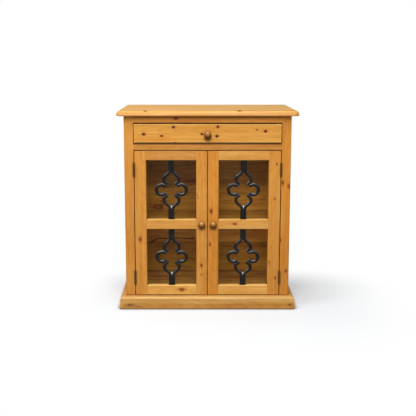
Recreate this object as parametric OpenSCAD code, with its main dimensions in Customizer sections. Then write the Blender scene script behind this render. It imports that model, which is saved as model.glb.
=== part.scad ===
// Pine display cabinet: a wide drawer over a pair of glazed doors with iron tracery.
// Millimetres, +Z up, front towards -Y. The origin is on the floor under the middle of
// the whole piece, whose depth runs from the drawer's knob to the back boards.

/* [Carcass] */
// Width across the face frame
carcass_w = 800; // [760:10:900]
// Depth from the front of the face frame to the rear of the back boards
carcass_d = 372; // [330:2:440]
// Height from the floor to the top surface
height = 975; // [950:5:1100]
// Thickness of the side boards
side_t = 20; // [16:1:24]
// Thickness of the face frame
frame_t = 22; // [18:1:26]
// Width of the face frame's stiles
frame_stile_w = 45; // [40:1:60]
// Radius on the outer front corner of the face frame
frame_corner_r = 6; // [2:1:10]
// Height of the rail over the drawer
frieze_h = 36; // [24:1:50]
// Height of the rail between the drawer and the doors
drawer_rail_h = 32; // [28:1:44]
// Height of the sill rail, which is also the height of the plinth
sill_h = 60; // [50:1:80]

/* [Inside] */
// Thickness of the cupboard floor and of the shelf
shelf_t = 18; // [14:1:22]
// Drop from the middle of the doors' middle rails to the shelf's top surface
shelf_drop = 19; // [0:1:30]
// Distance from the front of the face frame to the shelf's front edge
shelf_setback = 60; // [52:1:120]
// Square section of the battens under the floor, the shelf and the top
batten = 18; // [14:1:22]
// Thickness of the board under the drawer
dust_board_t = 12; // [8:1:14]
// Thickness of the back boards
back_t = 12; // [9:1:15]
// Pitch of the back boards' seams
back_board_w = 157.5; // [120:0.5:200]
// Height of the lowest seam
first_seam_z = 66.5; // [40:0.5:110]
// Thickness of the back boards' tongues
tongue_t = 4; // [3:0.5:4.5]
// Reach of the back boards' tongues
tongue_l = 6; // [4:0.5:8]
// Chamfer beside each seam
seam_chamfer = 1.5; // [0.5:0.5:2]

/* [Top and plinth] */
// Thickness of the top board
top_t = 27; // [22:1:32]
// Overhang of the top board at the front and both ends
top_overhang = 33; // [26:1:40]
// Height of the plain band under the top's moulding
top_band_h = 8; // [5:0.5:10]
// Width of the top's ovolo moulding
top_ovolo_w = 12; // [8:1:16]
// Projection of the plinth in front of the carcass
plinth_t = 28; // [22:1:32]
// Height of the plinth's moulding
plinth_moulding_h = 14; // [10:1:20]
// Width of the plinth's ovolo
plinth_ovolo_w = 13; // [8:1:16]
// Radius of the soft arrises on the mouldings
arris_r = 2.5; // [1:0.5:3]
// Depth of the quirks and steps beside the mouldings
quirk = 1.2; // [0.6:0.2:1.6]

/* [Drawer] */
// Height of the drawer's opening
drawer_open_h = 95; // [80:1:110]
// Gap round the drawer's front
drawer_gap = 3; // [1:0.25:4]
// Distance that the drawer's front stands out of the face frame
drawer_proud = 6; // [0:0.5:8]
// Thickness of the drawer's front
drawer_front_t = 22; // [18:1:26]
// Radius of the eased edges of the drawer's front
drawer_arris_r = 3; // [1:0.5:4]
// Thickness of the drawer's sides and back
drawer_side_t = 12; // [9:1:15]
// How much lower the drawer's sides are than its opening
drawer_side_drop = 17; // [14:1:26]
// Gap between the drawer's sides and the kickers over them
kicker_gap = 2; // [1:0.5:4]
// Thickness of the drawer's bottom
drawer_bottom_t = 6; // [4:0.5:8]
// Depth of the grooves that hold the drawer's bottom and back
drawer_groove = 5; // [3:0.5:6]
// Distance from the lower edge of the drawer's sides to its bottom
drawer_bottom_lift = 9; // [6:1:14]
// Distance from the drawer's back to the back boards
drawer_back_gap = 22; // [12:1:40]
// Number of dovetails at each front corner
dovetails = 3; // [2:1:4]
// Length of the dovetails
dovetail_l = 13; // [8:1:15]
// Height of the runners' and kickers' outer edge
kicker_h = 20; // [12:1:24]
// Width of the runners and kickers
runner_w = 46; // [40:1:60]

/* [Doors] */
// Thickness of the doors
door_t = 30; // [26:1:34]
// Width of the doors' stiles on the hinge side
hinge_stile_w = 56; // [50:1:62]
// Width of the doors' stiles where they meet
meeting_stile_w = 52; // [48:1:60]
// Height of the doors' rails
door_rail_h = 48; // [42:1:56]
// Height of the lower pane's opening
lower_pane_h = 284; // [270:1:300]
// Gap between the doors and the frame on the hinge side
door_side_gap = 4; // [3:0.1:4.4]
// Gap between the two doors
door_meeting_gap = 4; // [2.5:0.25:6]
// Gap over the doors
door_top_gap = 3.5; // [1:0.5:5]
// Gap under the doors
door_bottom_gap = 3; // [1:0.5:5]
// Radius of the eased edges round the panes
pane_arris_r = 4; // [1:0.5:5]
// Depth from a door's front to its glass
glass_setback = 25; // [22:0.5:26]
// Thickness of the glass
glass_t = 3; // [2:0.5:4]
// Width of the rebate that the glass lies in
rebate_w = 8; // [6:0.5:10]
// Thickness of the beads that hold the glass
bead_t = 6; // [4:0.5:8]

/* [Ironwork] */
// Width of the square iron bar
bar_w = 14; // [9:0.5:15]
// Chamfer on the bar's corners
bar_chamfer = 3; // [0.5:0.1:3.5]
// Gap between the ironwork and the glass behind it
iron_to_glass = 5; // [2:0.5:7]
// Overlap of two bars where they are forge-welded side by side
weld_bite = 0.2; // [0.1:0.1:0.6]
// Centre-line radius of the side lobes
lobe_r = 25; // [20:1:30]
// Angle at which the cusps point to the centre
cusp_angle = 42; // [38:1:45]
// Distance from the centre to the cusps' square ends
cusp_reach = 32; // [28:1:36]
// Half width of the upper and lower foils on the bar's centre line
foil_half_w = 36.7; // [34:0.1:40]
// Distance from the centre to the foils' widest places
foil_z = 51; // [48:1:56]
// Slope of the straight stretch between foil and stem
neck_angle = 43; // [38:1:50]
// Centre-line radius where the foil bends into the stem
neck_r = 13; // [9:1:18]
// Height of the weld in the crotch between the two bars
weld_h = 8; // [6:1:16]
// Radius of the round tenons that fix the stems in the rails
pin_tenon_r = 2.5; // [2:0.25:3.5]
// Length of those tenons
pin_tenon_l = 8; // [5:1:12]

/* [Knobs] */
// Radius of the drawer's knob
drawer_knob_r = 17.5; // [14:0.5:20]
// Radius of the door knobs
door_knob_r = 16; // [13:0.5:18]
// Length of the drawer's knob in front of its drawer
drawer_knob_l = 30; // [26:0.5:34]
// Length of the door knobs in front of their doors
door_knob_l = 27.5; // [24:0.5:32]
// Drop of the drawer's knob below the middle of the drawer's front
drawer_knob_drop = 5; // [0:1:8]
// Height of the door knobs over the middle of the middle rails
door_knob_rise = 3; // [0:1:8]
// Radius of the knobs' tenons
knob_tenon_r = 5; // [4:0.5:6]
// Length of the knobs' tenons
knob_tenon_l = 15; // [10:1:16]

/* [Hinges and catches] */
// Length of a butt hinge
hinge_l = 66; // [50:1:80]
// Distance from a door's top to the middle of its upper hinge
hinge_from_top = 95; // [60:1:120]
// Distance from a door's bottom to the middle of its lower hinge
hinge_from_bottom = 88; // [60:1:120]
// Radius of the knuckles
knuckle_r = 4; // [3.25:0.25:4.5]
// Radius of the hinge pins
hinge_pin_r = 2; // [1.5:0.1:2.2]
// Thickness of the leaves
leaf_t = 2; // [1.8:0.1:2.2]
// Distance from the leaves' edge to the rear of the face frame
leaf_margin = 2; // [1:0.5:4]
// Radius of the screws' heads
screw_head_r = 3.4; // [2.8:0.1:3.8]
// Radius of the screws' shanks
screw_r = 1.6; // [1.2:0.1:1.8]
// Length of the screws
screw_l = 15; // [10:1:18]
// Width of a door catch
catch_w = 38; // [28:1:44]
// Height of a door catch
catch_h = 14; // [10:1:18]
// Depth of a door catch
catch_d = 18; // [12:1:22]
// Thickness of the strike plates
strike_t = 1.2; // [0.8:0.1:2]

/* [Joints] */
// Length of the tenons on the rails
tenon_l = 24; // [15:1:28]
// Distance from a rail's edge to its tenon's edge
tenon_shoulder = 7; // [4:1:9]
// Play round tenons, tongues, glass and beads
joint_play = 0.25; // [0.1:0.05:0.4]
// Radial play of the hinge pins in the knuckles
pin_play = 0.06; // [0.02:0.01:0.1]
// Play between pieces that slide or swing past each other
running_play = 0.3; // [0.2:0.05:0.5]

/* [Hidden] */

$fn = 64;
arc_steps = 6;
ovolo_steps = 10;

// How far a cut runs past the face that it opens
past = 1;

pine = "#d69a4e";
pine_inside = "#b98145";
turned_wood = "#b5763f";
black_iron = "#35383a";
dark_bronze = "#4a3f31";
clear_glass = [0.75, 0.82, 0.8, 0.35];
bright_steel = "#b8bcc0";
catch_brown = "#6b4a2f";

// Carcass
half_w = carcass_w / 2;
open_half = half_w - frame_stile_w;
inside_half = half_w - side_t;
top_z = height - top_t;
drawer_z1 = top_z - frieze_h;
drawer_z0 = drawer_z1 - drawer_open_h;
rail_z0 = drawer_z0 - drawer_rail_h;
back_y = carcass_d - back_t;
front_reach = max(top_overhang, drawer_proud + drawer_knob_l);
centre_y = (front_reach - carcass_d) / 2;
back_lap = side_t / 2;

// Doors, measured on the left one
door_x0 = -open_half + door_side_gap;
door_x1 = -door_meeting_gap / 2;
door_z0 = sill_h + door_bottom_gap;
door_z1 = rail_z0 - door_top_gap;
pane_x0 = door_x0 + hinge_stile_w;
pane_x1 = door_x1 - meeting_stile_w;
lower_pane = [door_z0 + door_rail_h, door_z0 + door_rail_h + lower_pane_h];
upper_pane = [lower_pane[1] + door_rail_h, door_z1 - door_rail_h];
middle_rail_z = (lower_pane[1] + upper_pane[0]) / 2;
shelf_top_z = middle_rail_z - shelf_drop;
door_knob_x = door_x1 - meeting_stile_w / 2;
door_knob_z = middle_rail_z + door_knob_rise;
glass_clearance = 1;
strike_inset = 1;

// Ironwork, in the plane of the door
pane_mid_x = (pane_x0 + pane_x1) / 2;
bar_y = glass_setback - iron_to_glass - bar_w / 2;
bar_off = (bar_w - weld_bite) / 2;
bar_slim = 0.01;
bar_lap = 0.3;
weld_sink = 1;
weld_half_t = bar_w / 3;
lobe_x = (lobe_r + bar_off) / sin(cusp_angle);
cusp_out = [-cos(cusp_angle), sin(cusp_angle)];
cusp_up = [sin(cusp_angle), cos(cusp_angle)];
foil_r = (foil_z * cos(cusp_angle) - foil_half_w * sin(cusp_angle) - bar_off) / (1 - sin(cusp_angle));
foil_c = [foil_r - foil_half_w, foil_z];
neck_dir = [cos(neck_angle), sin(neck_angle)];
neck_left = [-sin(neck_angle), cos(neck_angle)];
neck_x = -bar_off - neck_r;
neck_z = (neck_left * foil_c + foil_r + neck_r - neck_left[0] * neck_x) / neck_left[1];
neck_c = [neck_x, neck_z];

// Hinges
hinge_x = -open_half + door_side_gap / 2;
hinge_y = -(knuckle_r + running_play);
hinge_zs = [door_z1 - hinge_from_top, door_z0 + hinge_from_bottom];
knuckles = 5;
knuckle_pitch = hinge_l / knuckles;
leaf_gap = 0.5;
leaf_face_gap = 0.05;
leaf_w = frame_t - leaf_margin;
leaf_y0 = knuckle_r + running_play - leaf_face_gap;
leaf_sink = leaf_t + leaf_gap / 2 - door_side_gap / 2;
screws_per_leaf = 3;
screw_stagger = leaf_w / 7;
pin_head_r = 3;
pin_head_h = 1.5;

// Drawer
drawer_half = open_half - drawer_gap;
drawer_front_z = [drawer_z0 + drawer_gap, drawer_z1 - drawer_gap];
drawer_front_y = [-drawer_proud, drawer_front_t - drawer_proud];
drawer_side_h = drawer_open_h - drawer_side_drop;
drawer_side_z = [drawer_z0 + running_play, drawer_z0 + running_play + drawer_side_h];
drawer_back_y1 = back_y - drawer_back_gap;
drawer_back_y = drawer_back_y1 - 2 * drawer_side_t;
drawer_bottom_z = drawer_side_z[0] + drawer_bottom_lift;
drawer_knob_z = (drawer_front_z[0] + drawer_front_z[1]) / 2 - drawer_knob_drop;
kicker_z = drawer_side_z[1] + kicker_gap;
stop_z = (drawer_side_z[0] + drawer_side_z[1] - batten) / 2;

// Widths of a dovetail at its root and its end, as shares of the tails' pitch
tail_root = 0.42;
tail_end = 0.62;

// Turned shape of a knob: radii as shares of the head's radius
knob_foot = 0.72;
knob_neck = 0.5;
knob_dome = 0.62;

// Turned shape of a knob: where the foot and the neck end, as shares of its length
knob_foot_end = 0.08;
knob_neck_start = 0.22;
knob_neck_end = 0.34;

// Points on an ellipse's arc round c, with half axes r, from angle a0 to a1
function arc(c, r, a0, a1, n = arc_steps) =
    [for (i = [0:n]) let (a = a0 + (a1 - a0) * i / n) [c[0] + r[0] * cos(a), c[1] + r[1] * sin(a)]];

// A block between two limits on each axis
module block(x, y, z) {
    translate([x[0], y[0], z[0]])
        cube([x[1] - x[0], y[1] - y[0], z[1] - z[0]]);
}

// Extrudes a Y-Z outline along X
module along_x(x) {
    translate([x[0], 0, 0])
        rotate([90, 0, 90])
            linear_extrude(x[1] - x[0])
                children();
}

// Extrudes an X-Z outline along Y
module along_y(y) {
    translate([0, y[1], 0])
        rotate([90, 0, 0])
            linear_extrude(y[1] - y[0])
                children();
}

// Extrudes an X-Y outline along Z
module along_z(z) {
    translate([0, 0, z[0]])
        linear_extrude(z[1] - z[0])
            children();
}

// Puts a piece of the carcass in its place round the origin
module placed() {
    translate([0, centre_y, 0])
        children();
}

// The same piece on the right-hand side
module placed_right() {
    placed()
        mirror([1, 0, 0])
            children();
}

// A rectangle with its corners towards low b rounded, as a moulded board's section
module eased_section(a, b, r) {
    polygon(concat(
        [[a[1], b[1]], [a[0], b[1]]],
        arc([a[0] + r, b[0] + r], [r, r], 180, 270),
        arc([a[1] - r, b[0] + r], [r, r], 270, 360)
    ));
}

// Tenons at both ends of a rail, or the mortises for them when grown
module tenons(x, y, z, grow = 0) {
    mid = (y[0] + y[1]) / 2;
    half_t = (y[1] - y[0]) / 6;
    for (end = [x[0] - tenon_l, x[1]])
        block(
            [end - grow, end + tenon_l + grow],
            [mid - half_t - grow, mid + half_t + grow],
            [z[0] + tenon_shoulder - grow, z[1] - tenon_shoulder + grow]
        );
}

// A rail with its tenons
module rail(x, y, z) {
    block(x, y, z);
    tenons(x, y, z);
}

// Edge of the top board, from its underside up: distance out of the carcass, and height
top_quirk_z = top_z + top_band_h;
top_ovolo_x = top_overhang - quirk - top_ovolo_w;
top_edge = concat(
    [[top_overhang - arris_r, top_z]],
    arc([top_overhang - arris_r, top_z + arris_r], [arris_r, arris_r], 270, 360),
    [[top_overhang, top_quirk_z], [top_overhang - quirk, top_quirk_z + quirk]],
    arc([top_ovolo_x, top_quirk_z + quirk], [top_ovolo_w, top_t - top_band_h - 2 * quirk], 0, 90, ovolo_steps),
    [[top_ovolo_x, height]]
);

module top_board() {
    color(pine)
        placed()
            intersection() {
                along_x([-half_w - top_overhang, half_w + top_overhang])
                    polygon(concat(
                        [[carcass_d, height], [carcass_d, top_z]],
                        [for (p = top_edge) [-p[0], p[1]]]
                    ));
                along_y([-top_overhang, carcass_d])
                    polygon(concat(
                        [for (p = top_edge) [half_w + p[0], p[1]]],
                        [for (i = [len(top_edge) - 1:-1:0]) [-half_w - top_edge[i][0], top_edge[i][1]]]
                    ));
            }
}

// Section of the plinth, from the floor up: distance out of the carcass, and height
plinth_band_h = sill_h - plinth_moulding_h;
plinth_ovolo_x = plinth_t - arris_r - plinth_ovolo_w;
plinth_section = concat(
    [[0, 0], [plinth_t, 0]],
    arc([plinth_t - arris_r, plinth_band_h - arris_r], [arris_r, arris_r], 0, 90),
    [[plinth_t - arris_r, plinth_band_h + quirk]],
    arc(
        [plinth_ovolo_x, plinth_band_h + quirk],
        [plinth_ovolo_w, plinth_moulding_h - 2 * quirk],
        0, 90, ovolo_steps
    ),
    [[plinth_ovolo_x, sill_h], [0, sill_h]]
);

module plinth_front() {
    color(pine)
        placed()
            intersection() {
                along_x([-half_w - plinth_t, half_w + plinth_t])
                    polygon([for (p = plinth_section) [-p[0], p[1]]]);
                along_z([0, sill_h])
                    polygon([
                        [-half_w, 0], [-half_w - plinth_t, -plinth_t],
                        [half_w + plinth_t, -plinth_t], [half_w, 0]
                    ]);
            }
}

// Plinth board on the left side, mitred to the front one
module plinth_side() {
    intersection() {
        along_y([-plinth_t, carcass_d])
            polygon([for (p = plinth_section) [-half_w - p[0], p[1]]]);
        along_z([0, sill_h])
            polygon([
                [-half_w, 0], [-half_w - plinth_t, -plinth_t],
                [-half_w - plinth_t, carcass_d], [-half_w, carcass_d]
            ]);
    }
}

module plinth_left() {
    color(pine)
        placed()
            plinth_side();
}

module plinth_right() {
    color(pine)
        placed_right()
            plinth_side();
}

// Side board with the rebate that the back boards lie in
module side_board() {
    difference() {
        block([-half_w, -inside_half], [frame_t, carcass_d], [0, top_z]);
        block(
            [-half_w + back_lap, -inside_half + past], [back_y, carcass_d + past], [-past, top_z + past]
        );
    }
}

module left_side() {
    color(pine)
        placed()
            side_board();
}

module right_side() {
    color(pine)
        placed_right()
            side_board();
}

// Rails of the face frame, as height limits
frieze_zs = [drawer_z1, top_z];
drawer_rail_zs = [rail_z0, drawer_z0];
sill_zs = [0, sill_h];
frame_ys = [0, frame_t];

// Face-frame stile with mortises for the rails and beds for the hinges
module frame_stile() {
    difference() {
        along_z([0, top_z])
            polygon(concat(
                [[-open_half, 0], [-open_half, frame_t], [-half_w, frame_t]],
                arc([-half_w + frame_corner_r, frame_corner_r], [frame_corner_r, frame_corner_r], 180, 270)
            ));
        for (z = [frieze_zs, drawer_rail_zs, sill_zs])
            tenons([-open_half, open_half], frame_ys, z, joint_play);
        for (z = hinge_zs) {
            block(
                [-open_half - leaf_sink, -open_half + past],
                [-past, hinge_y + leaf_y0 + leaf_w + joint_play],
                [z - hinge_l / 2 - joint_play, z + hinge_l / 2 + joint_play]
            );
            translate([hinge_x, hinge_y, z])
                hinge_screw_holes(-1);
        }
    }
}

module left_frame_stile() {
    color(pine)
        placed()
            frame_stile();
}

module right_frame_stile() {
    color(pine)
        placed_right()
            frame_stile();
}

module frieze_rail() {
    color(pine)
        placed()
            rail([-open_half, open_half], frame_ys, frieze_zs);
}

module drawer_rail() {
    color(pine)
        placed()
            rail([-open_half, open_half], frame_ys, drawer_rail_zs);
}

module sill_rail() {
    color(pine)
        placed()
            rail([-open_half, open_half], frame_ys, sill_zs);
}

module floor_board() {
    color(pine_inside)
        placed()
            block([-inside_half, inside_half], [frame_t, back_y], [sill_h - shelf_t, sill_h]);
}

// A pair of battens along the side boards
module side_battens(w, y, z) {
    for (side = [-1, 1])
        scale([side, 1, 1])
            block([-inside_half, -inside_half + w], y, z);
}

module floor_battens() {
    color(pine_inside)
        placed()
            side_battens(batten, [frame_t, back_y], [sill_h - shelf_t - batten, sill_h - shelf_t]);
}

module shelf() {
    color(pine_inside)
        placed()
            block(
                [-inside_half, inside_half], [shelf_setback, back_y],
                [shelf_top_z - shelf_t, shelf_top_z]
            );
}

module shelf_battens() {
    color(pine_inside)
        placed()
            side_battens(
                batten, [shelf_setback + batten, back_y],
                [shelf_top_z - shelf_t - batten, shelf_top_z - shelf_t]
            );
}

// Section of one back board, from low z to high z, with its groove below and tongue above
module back_board_section(z0, z1, grooved, tongued) {
    t0 = back_y + (back_t - tongue_t) / 2;
    t1 = t0 + tongue_t;
    groove_z = z0 + tongue_l + joint_play;
    groove = [
        [t1 + joint_play, z0], [t1 + joint_play, groove_z],
        [t0 - joint_play, groove_z], [t0 - joint_play, z0]
    ];
    tongue = [[t0, z1], [t0, z1 + tongue_l], [t1, z1 + tongue_l], [t1, z1]];
    low = grooved ? seam_chamfer : 0;
    high = tongued ? seam_chamfer : 0;
    polygon(concat(
        [[back_y + low, z0], [back_y, z0 + low], [back_y, z1 - high], [back_y + high, z1]],
        tongued ? tongue : [],
        [[carcass_d, z1], [carcass_d, z0]],
        grooved ? groove : []
    ));
}

back_seams = concat([0], [for (z = first_seam_z; z < top_z - 2 * tongue_l; z = z + back_board_w) z], [top_z]);

module back_boards() {
    last = len(back_seams) - 2;
    lap = half_w - back_lap - joint_play;
    color(pine_inside)
        placed()
            for (i = [0:last])
                along_x([-lap, lap])
                    back_board_section(
                        back_seams[i], back_seams[i + 1] - (i < last ? joint_play : 0), i > 0, i < last
                    );
}

module dust_board() {
    color(pine_inside)
        placed()
            block([-inside_half, inside_half], [frame_t, back_y], [rail_z0, rail_z0 + dust_board_t]);
}

// Runner under the drawer's side, with the guide beside it
module drawer_runner() {
    along_y([frame_t, back_y])
        polygon([
            [-inside_half, rail_z0 + dust_board_t], [-inside_half + runner_w, rail_z0 + dust_board_t],
            [-inside_half + runner_w, drawer_z0], [-open_half, drawer_z0],
            [-open_half, drawer_z0 + kicker_h], [-inside_half, drawer_z0 + kicker_h]
        ]);
}

module left_drawer_runner() {
    color(pine_inside)
        placed()
            drawer_runner();
}

module right_drawer_runner() {
    color(pine_inside)
        placed_right()
            drawer_runner();
}

module drawer_kickers() {
    color(pine_inside)
        placed()
            side_battens(runner_w, [frame_t, back_y], [kicker_z, kicker_z + kicker_h]);
}

// Stops fixed to the back boards behind the drawer's back
module drawer_stops() {
    color(pine_inside)
        placed()
            for (side = [-1, 1])
                translate([side * drawer_half / 2, 0, 0])
                    block(
                        [-batten, batten], [drawer_back_y1 + running_play, back_y],
                        [stop_z, stop_z + batten]
                    );
}

module top_battens() {
    z = [top_z - batten, top_z];
    color(pine_inside)
        placed() {
            side_battens(batten, [frame_t + batten + joint_play, back_y - batten - joint_play], z);
            for (y = [frame_t, back_y - batten])
                block([-inside_half, inside_half], [y, y + batten], z);
        }
}

// Drawer

// Dovetails on the left side's front end, or their sockets when grown
module drawer_tails(grow = 0) {
    pitch = drawer_side_h / dovetails;
    narrow = pitch * tail_root + 2 * grow;
    wide = pitch * tail_end + 2 * grow;
    y1 = drawer_front_y[1] + grow;
    y0 = drawer_front_y[1] - dovetail_l - grow;
    for (i = [0:dovetails - 1])
        translate([0, 0, drawer_side_z[0] + (i + 0.5) * pitch])
            along_x([-drawer_half - grow, -drawer_half + drawer_side_t + grow])
                polygon([[y1, -narrow / 2], [y1, narrow / 2], [y0, wide / 2], [y0, -wide / 2]]);
}

// Groove for the drawer's bottom between two depths
module drawer_bottom_groove(x, y) {
    block(x, y, [drawer_bottom_z - joint_play / 2, drawer_bottom_z + drawer_bottom_t + joint_play / 2]);
}

module drawer_front() {
    inner = drawer_half - drawer_side_t;
    color(pine)
        placed()
            difference() {
                intersection() {
                    along_x([-drawer_half, drawer_half])
                        rotate(-90)
                            mirror([1, 0])
                                eased_section(drawer_front_z, drawer_front_y, drawer_arris_r);
                    along_z(drawer_front_z)
                        eased_section([-drawer_half, drawer_half], drawer_front_y, drawer_arris_r);
                }
                drawer_tails(joint_play);
                mirror([1, 0, 0])
                    drawer_tails(joint_play);
                drawer_bottom_groove(
                    [-inner - drawer_groove, inner + drawer_groove],
                    [drawer_front_y[1] - drawer_groove - joint_play, drawer_front_y[1] + past]
                );
                knob_hole(0, drawer_knob_z, drawer_front_y[0]);
            }
}

// Left drawer side: tails at the front, a housing for the back and a groove for the bottom
module drawer_side() {
    inner = -drawer_half + drawer_side_t;
    difference() {
        union() {
            block([-drawer_half, inner], [drawer_front_y[1], drawer_back_y1], drawer_side_z);
            drawer_tails();
        }
        drawer_bottom_groove(
            [inner - drawer_groove - joint_play, inner + past],
            [drawer_front_y[1] - dovetail_l - past, drawer_back_y1 + past]
        );
        block(
            [inner - drawer_groove, inner + past],
            [drawer_back_y - joint_play, drawer_back_y + drawer_side_t + joint_play],
            [drawer_bottom_z, drawer_side_z[1] + past]
        );
    }
}

module drawer_left_side() {
    color(pine_inside)
        placed()
            drawer_side();
}

module drawer_right_side() {
    color(pine_inside)
        placed_right()
            drawer_side();
}

module drawer_back() {
    reach = drawer_half - drawer_side_t + drawer_groove - joint_play;
    color(pine_inside)
        placed()
            block(
                [-reach, reach], [drawer_back_y, drawer_back_y + drawer_side_t],
                [drawer_bottom_z + drawer_bottom_t + joint_play, drawer_side_z[1]]
            );
}

module drawer_bottom() {
    reach = drawer_half - drawer_side_t + drawer_groove;
    color(pine_inside)
        placed()
            block(
                [-reach, reach], [drawer_front_y[1] - drawer_groove, drawer_back_y1],
                [drawer_bottom_z, drawer_bottom_z + drawer_bottom_t]
            );
}

// Knobs

// A turned knob of radius r and length l on its tenon, pointing to the front from the face at y
module knob(x, z, y, r, l) {
    foot_r = r * knob_foot;
    waist_r = r * knob_neck;
    dome = r * knob_dome;
    cup_z = l * knob_neck_end;
    translate([x, y, z])
        rotate([90, 0, 0])
            rotate_extrude()
                polygon(concat(
                    [[0, -knob_tenon_l], [knob_tenon_r, -knob_tenon_l], [knob_tenon_r, 0], [foot_r, 0]],
                    [[foot_r, l * knob_foot_end], [waist_r, l * knob_neck_start], [waist_r, cup_z]],
                    arc([waist_r, l - dome], [r - waist_r, l - dome - cup_z], -90, 0),
                    arc([0, l - dome], [r, dome], 0, 90, ovolo_steps)
                ));
}

// Hole for a knob's tenon
module knob_hole(x, z, y) {
    translate([x, y, z])
        rotate([-90, 0, 0])
            cylinder(r = knob_tenon_r + joint_play, h = knob_tenon_l + past);
}

module drawer_knob() {
    color(turned_wood)
        placed()
            knob(0, drawer_knob_z, drawer_front_y[0], drawer_knob_r, drawer_knob_l);
}

// Doors, each made as the left one

door_ys = [0, door_t];

// Bed of the glass and its beads round one pane, cut from the back
module glass_rebate(pane) {
    block(
        [pane_x0 - rebate_w, pane_x1 + rebate_w], [glass_setback, door_t + past],
        [pane[0] - rebate_w, pane[1] + rebate_w]
    );
}

// Eases a stile's edge at x beside one pane; side is +1 where the pane lies to the right
module stile_arris(x, side, pane) {
    r = pane_arris_r;
    translate([x, 0, 0])
        scale([side, 1, 1])
            along_z(pane)
                polygon(concat(
                    [[past, -past], [past, r], [0, r]],
                    arc([-r, r], [r, r], 0, -90),
                    [[-r, -past]]
                ));
}

// Mortises for the three rails
module door_mortises() {
    for (z = [[door_z0, lower_pane[0]], [lower_pane[1], upper_pane[0]], [upper_pane[1], door_z1]])
        tenons([pane_x0, pane_x1], door_ys, z, joint_play);
}

module door_stile(x, pane_side) {
    edge = pane_side > 0 ? x[1] : x[0];
    difference() {
        along_z([door_z0, door_z1])
            eased_section(x, door_ys, quirk);
        for (pane = [lower_pane, upper_pane]) {
            glass_rebate(pane);
            stile_arris(edge, pane_side, pane);
        }
        door_mortises();
    }
}

module hinge_stile() {
    difference() {
        door_stile([door_x0, pane_x0], 1);
        for (z = hinge_zs) {
            block(
                [door_x0 - past, door_x0 + leaf_sink],
                [-past, hinge_y + leaf_y0 + leaf_w + joint_play],
                [z - hinge_l / 2 - joint_play, z + hinge_l / 2 + joint_play]
            );
            translate([hinge_x, hinge_y, z])
                hinge_screw_holes(1);
        }
    }
}

module meeting_stile() {
    difference() {
        door_stile([pane_x1, door_x1], -1);
        knob_hole(door_knob_x, door_knob_z, 0);
    }
}

// A door rail; its edges beside a pane are eased, and the iron stems are let into them
module door_rail(z, pane_below, pane_above) {
    low_r = pane_below ? pane_arris_r : quirk;
    high_r = pane_above ? pane_arris_r : quirk;
    difference() {
        union() {
            along_x([pane_x0, pane_x1])
                polygon(concat(
                    [[door_t, z[1]], [door_t, z[0]]],
                    arc([low_r, z[0] + low_r], [low_r, low_r], 270, 180),
                    arc([high_r, z[1] - high_r], [high_r, high_r], 180, 90)
                ));
            tenons([pane_x0, pane_x1], door_ys, z);
        }
        for (pane = [lower_pane, upper_pane])
            glass_rebate(pane);
        for (side = [-1, 1]) {
            if (pane_above)
                stem_hole(side, z[1] - pin_tenon_l - joint_play);
            if (pane_below)
                stem_hole(side, z[0] - past);
        }
    }
}

module stem_hole(side, z) {
    translate([pane_mid_x + side * bar_off, bar_y, z])
        cylinder(r = pin_tenon_r + joint_play / 2, h = pin_tenon_l + joint_play + past);
}

module top_rail() {
    door_rail([upper_pane[1], door_z1], true, false);
}

// The middle rail, whose tenon in the meeting stile is bored for the knob
module middle_rail() {
    difference() {
        door_rail([lower_pane[1], upper_pane[0]], true, true);
        knob_hole(door_knob_x, door_knob_z, 0);
    }
}

module bottom_rail() {
    door_rail([door_z0, lower_pane[0]], false, true);
}

module glass(pane) {
    lap = rebate_w - glass_clearance;
    block(
        [pane_x0 - lap, pane_x1 + lap], [glass_setback, glass_setback + glass_t],
        [pane[0] - lap, pane[1] + lap]
    );
}

// Four beads behind each pane's glass
module glazing_beads() {
    y = [glass_setback + glass_t, glass_setback + glass_t + bead_t];
    lap = rebate_w - joint_play;
    for (pane = [lower_pane, upper_pane]) {
        x = [pane_x0 - lap, pane_x1 + lap];
        z = [pane[0] - lap, pane[1] + lap];
        block(x, y, [z[0], z[0] + lap]);
        block(x, y, [z[1] - lap, z[1]]);
        for (bead_x = [[x[0], x[0] + lap], [x[1] - lap, x[1]]])
            block(bead_x, y, [z[0] + lap + joint_play, z[1] - lap - joint_play]);
    }
}

// Ironwork, drawn round its own centre in the X-Z plane

// The bar's section, a square with hammered-off corners; slim draws it down a little
module bar_section(slim = 0) {
    a = bar_w / 2 - slim;
    b = a - bar_chamfer;
    polygon([[a, -b], [a, b], [b, a], [-b, a], [-a, b], [-a, -b], [-b, -a], [b, -a]]);
}

// A bent stretch of bar round c from angle a0 to a1
module bar_arc(c, r, a0, a1) {
    translate([c[0], 0, c[1]])
        rotate([90, 0, 0])
            rotate(a0)
                rotate_extrude(angle = a1 - a0)
                    translate([r, 0])
                        bar_section();
}

// A straight stretch of bar from p to q, drawn down so that it enters the bends at its ends
module bar_line(p, q, lap_p = bar_lap, lap_q = bar_lap) {
    d = q - p;
    translate([p[0], 0, p[1]])
        rotate([0, 90 - atan2(d[1], d[0]), 0])
            translate([0, 0, -lap_p])
                linear_extrude(norm(d) + lap_p + lap_q)
                    bar_section(bar_slim);
}

// Upper left bar: cusp, foil, neck and stem up to stem_z
module foil_bar(stem_z) {
    cusp_end = cusp_out * cusp_reach + cusp_up * bar_off;
    foil_start = foil_c - cusp_up * foil_r;
    foil_end = foil_c + neck_left * foil_r;
    neck_start = neck_c - neck_left * neck_r;
    bar_line(cusp_end, foil_start, 0);
    bar_arc(foil_c, foil_r, 90 + neck_angle, 270 - cusp_angle);
    bar_line(foil_end, neck_start);
    bar_arc(neck_c, neck_r, neck_angle - 90, 0);
    bar_line([-bar_off, neck_z], [-bar_off, stem_z], bar_lap, 0);
}

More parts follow.
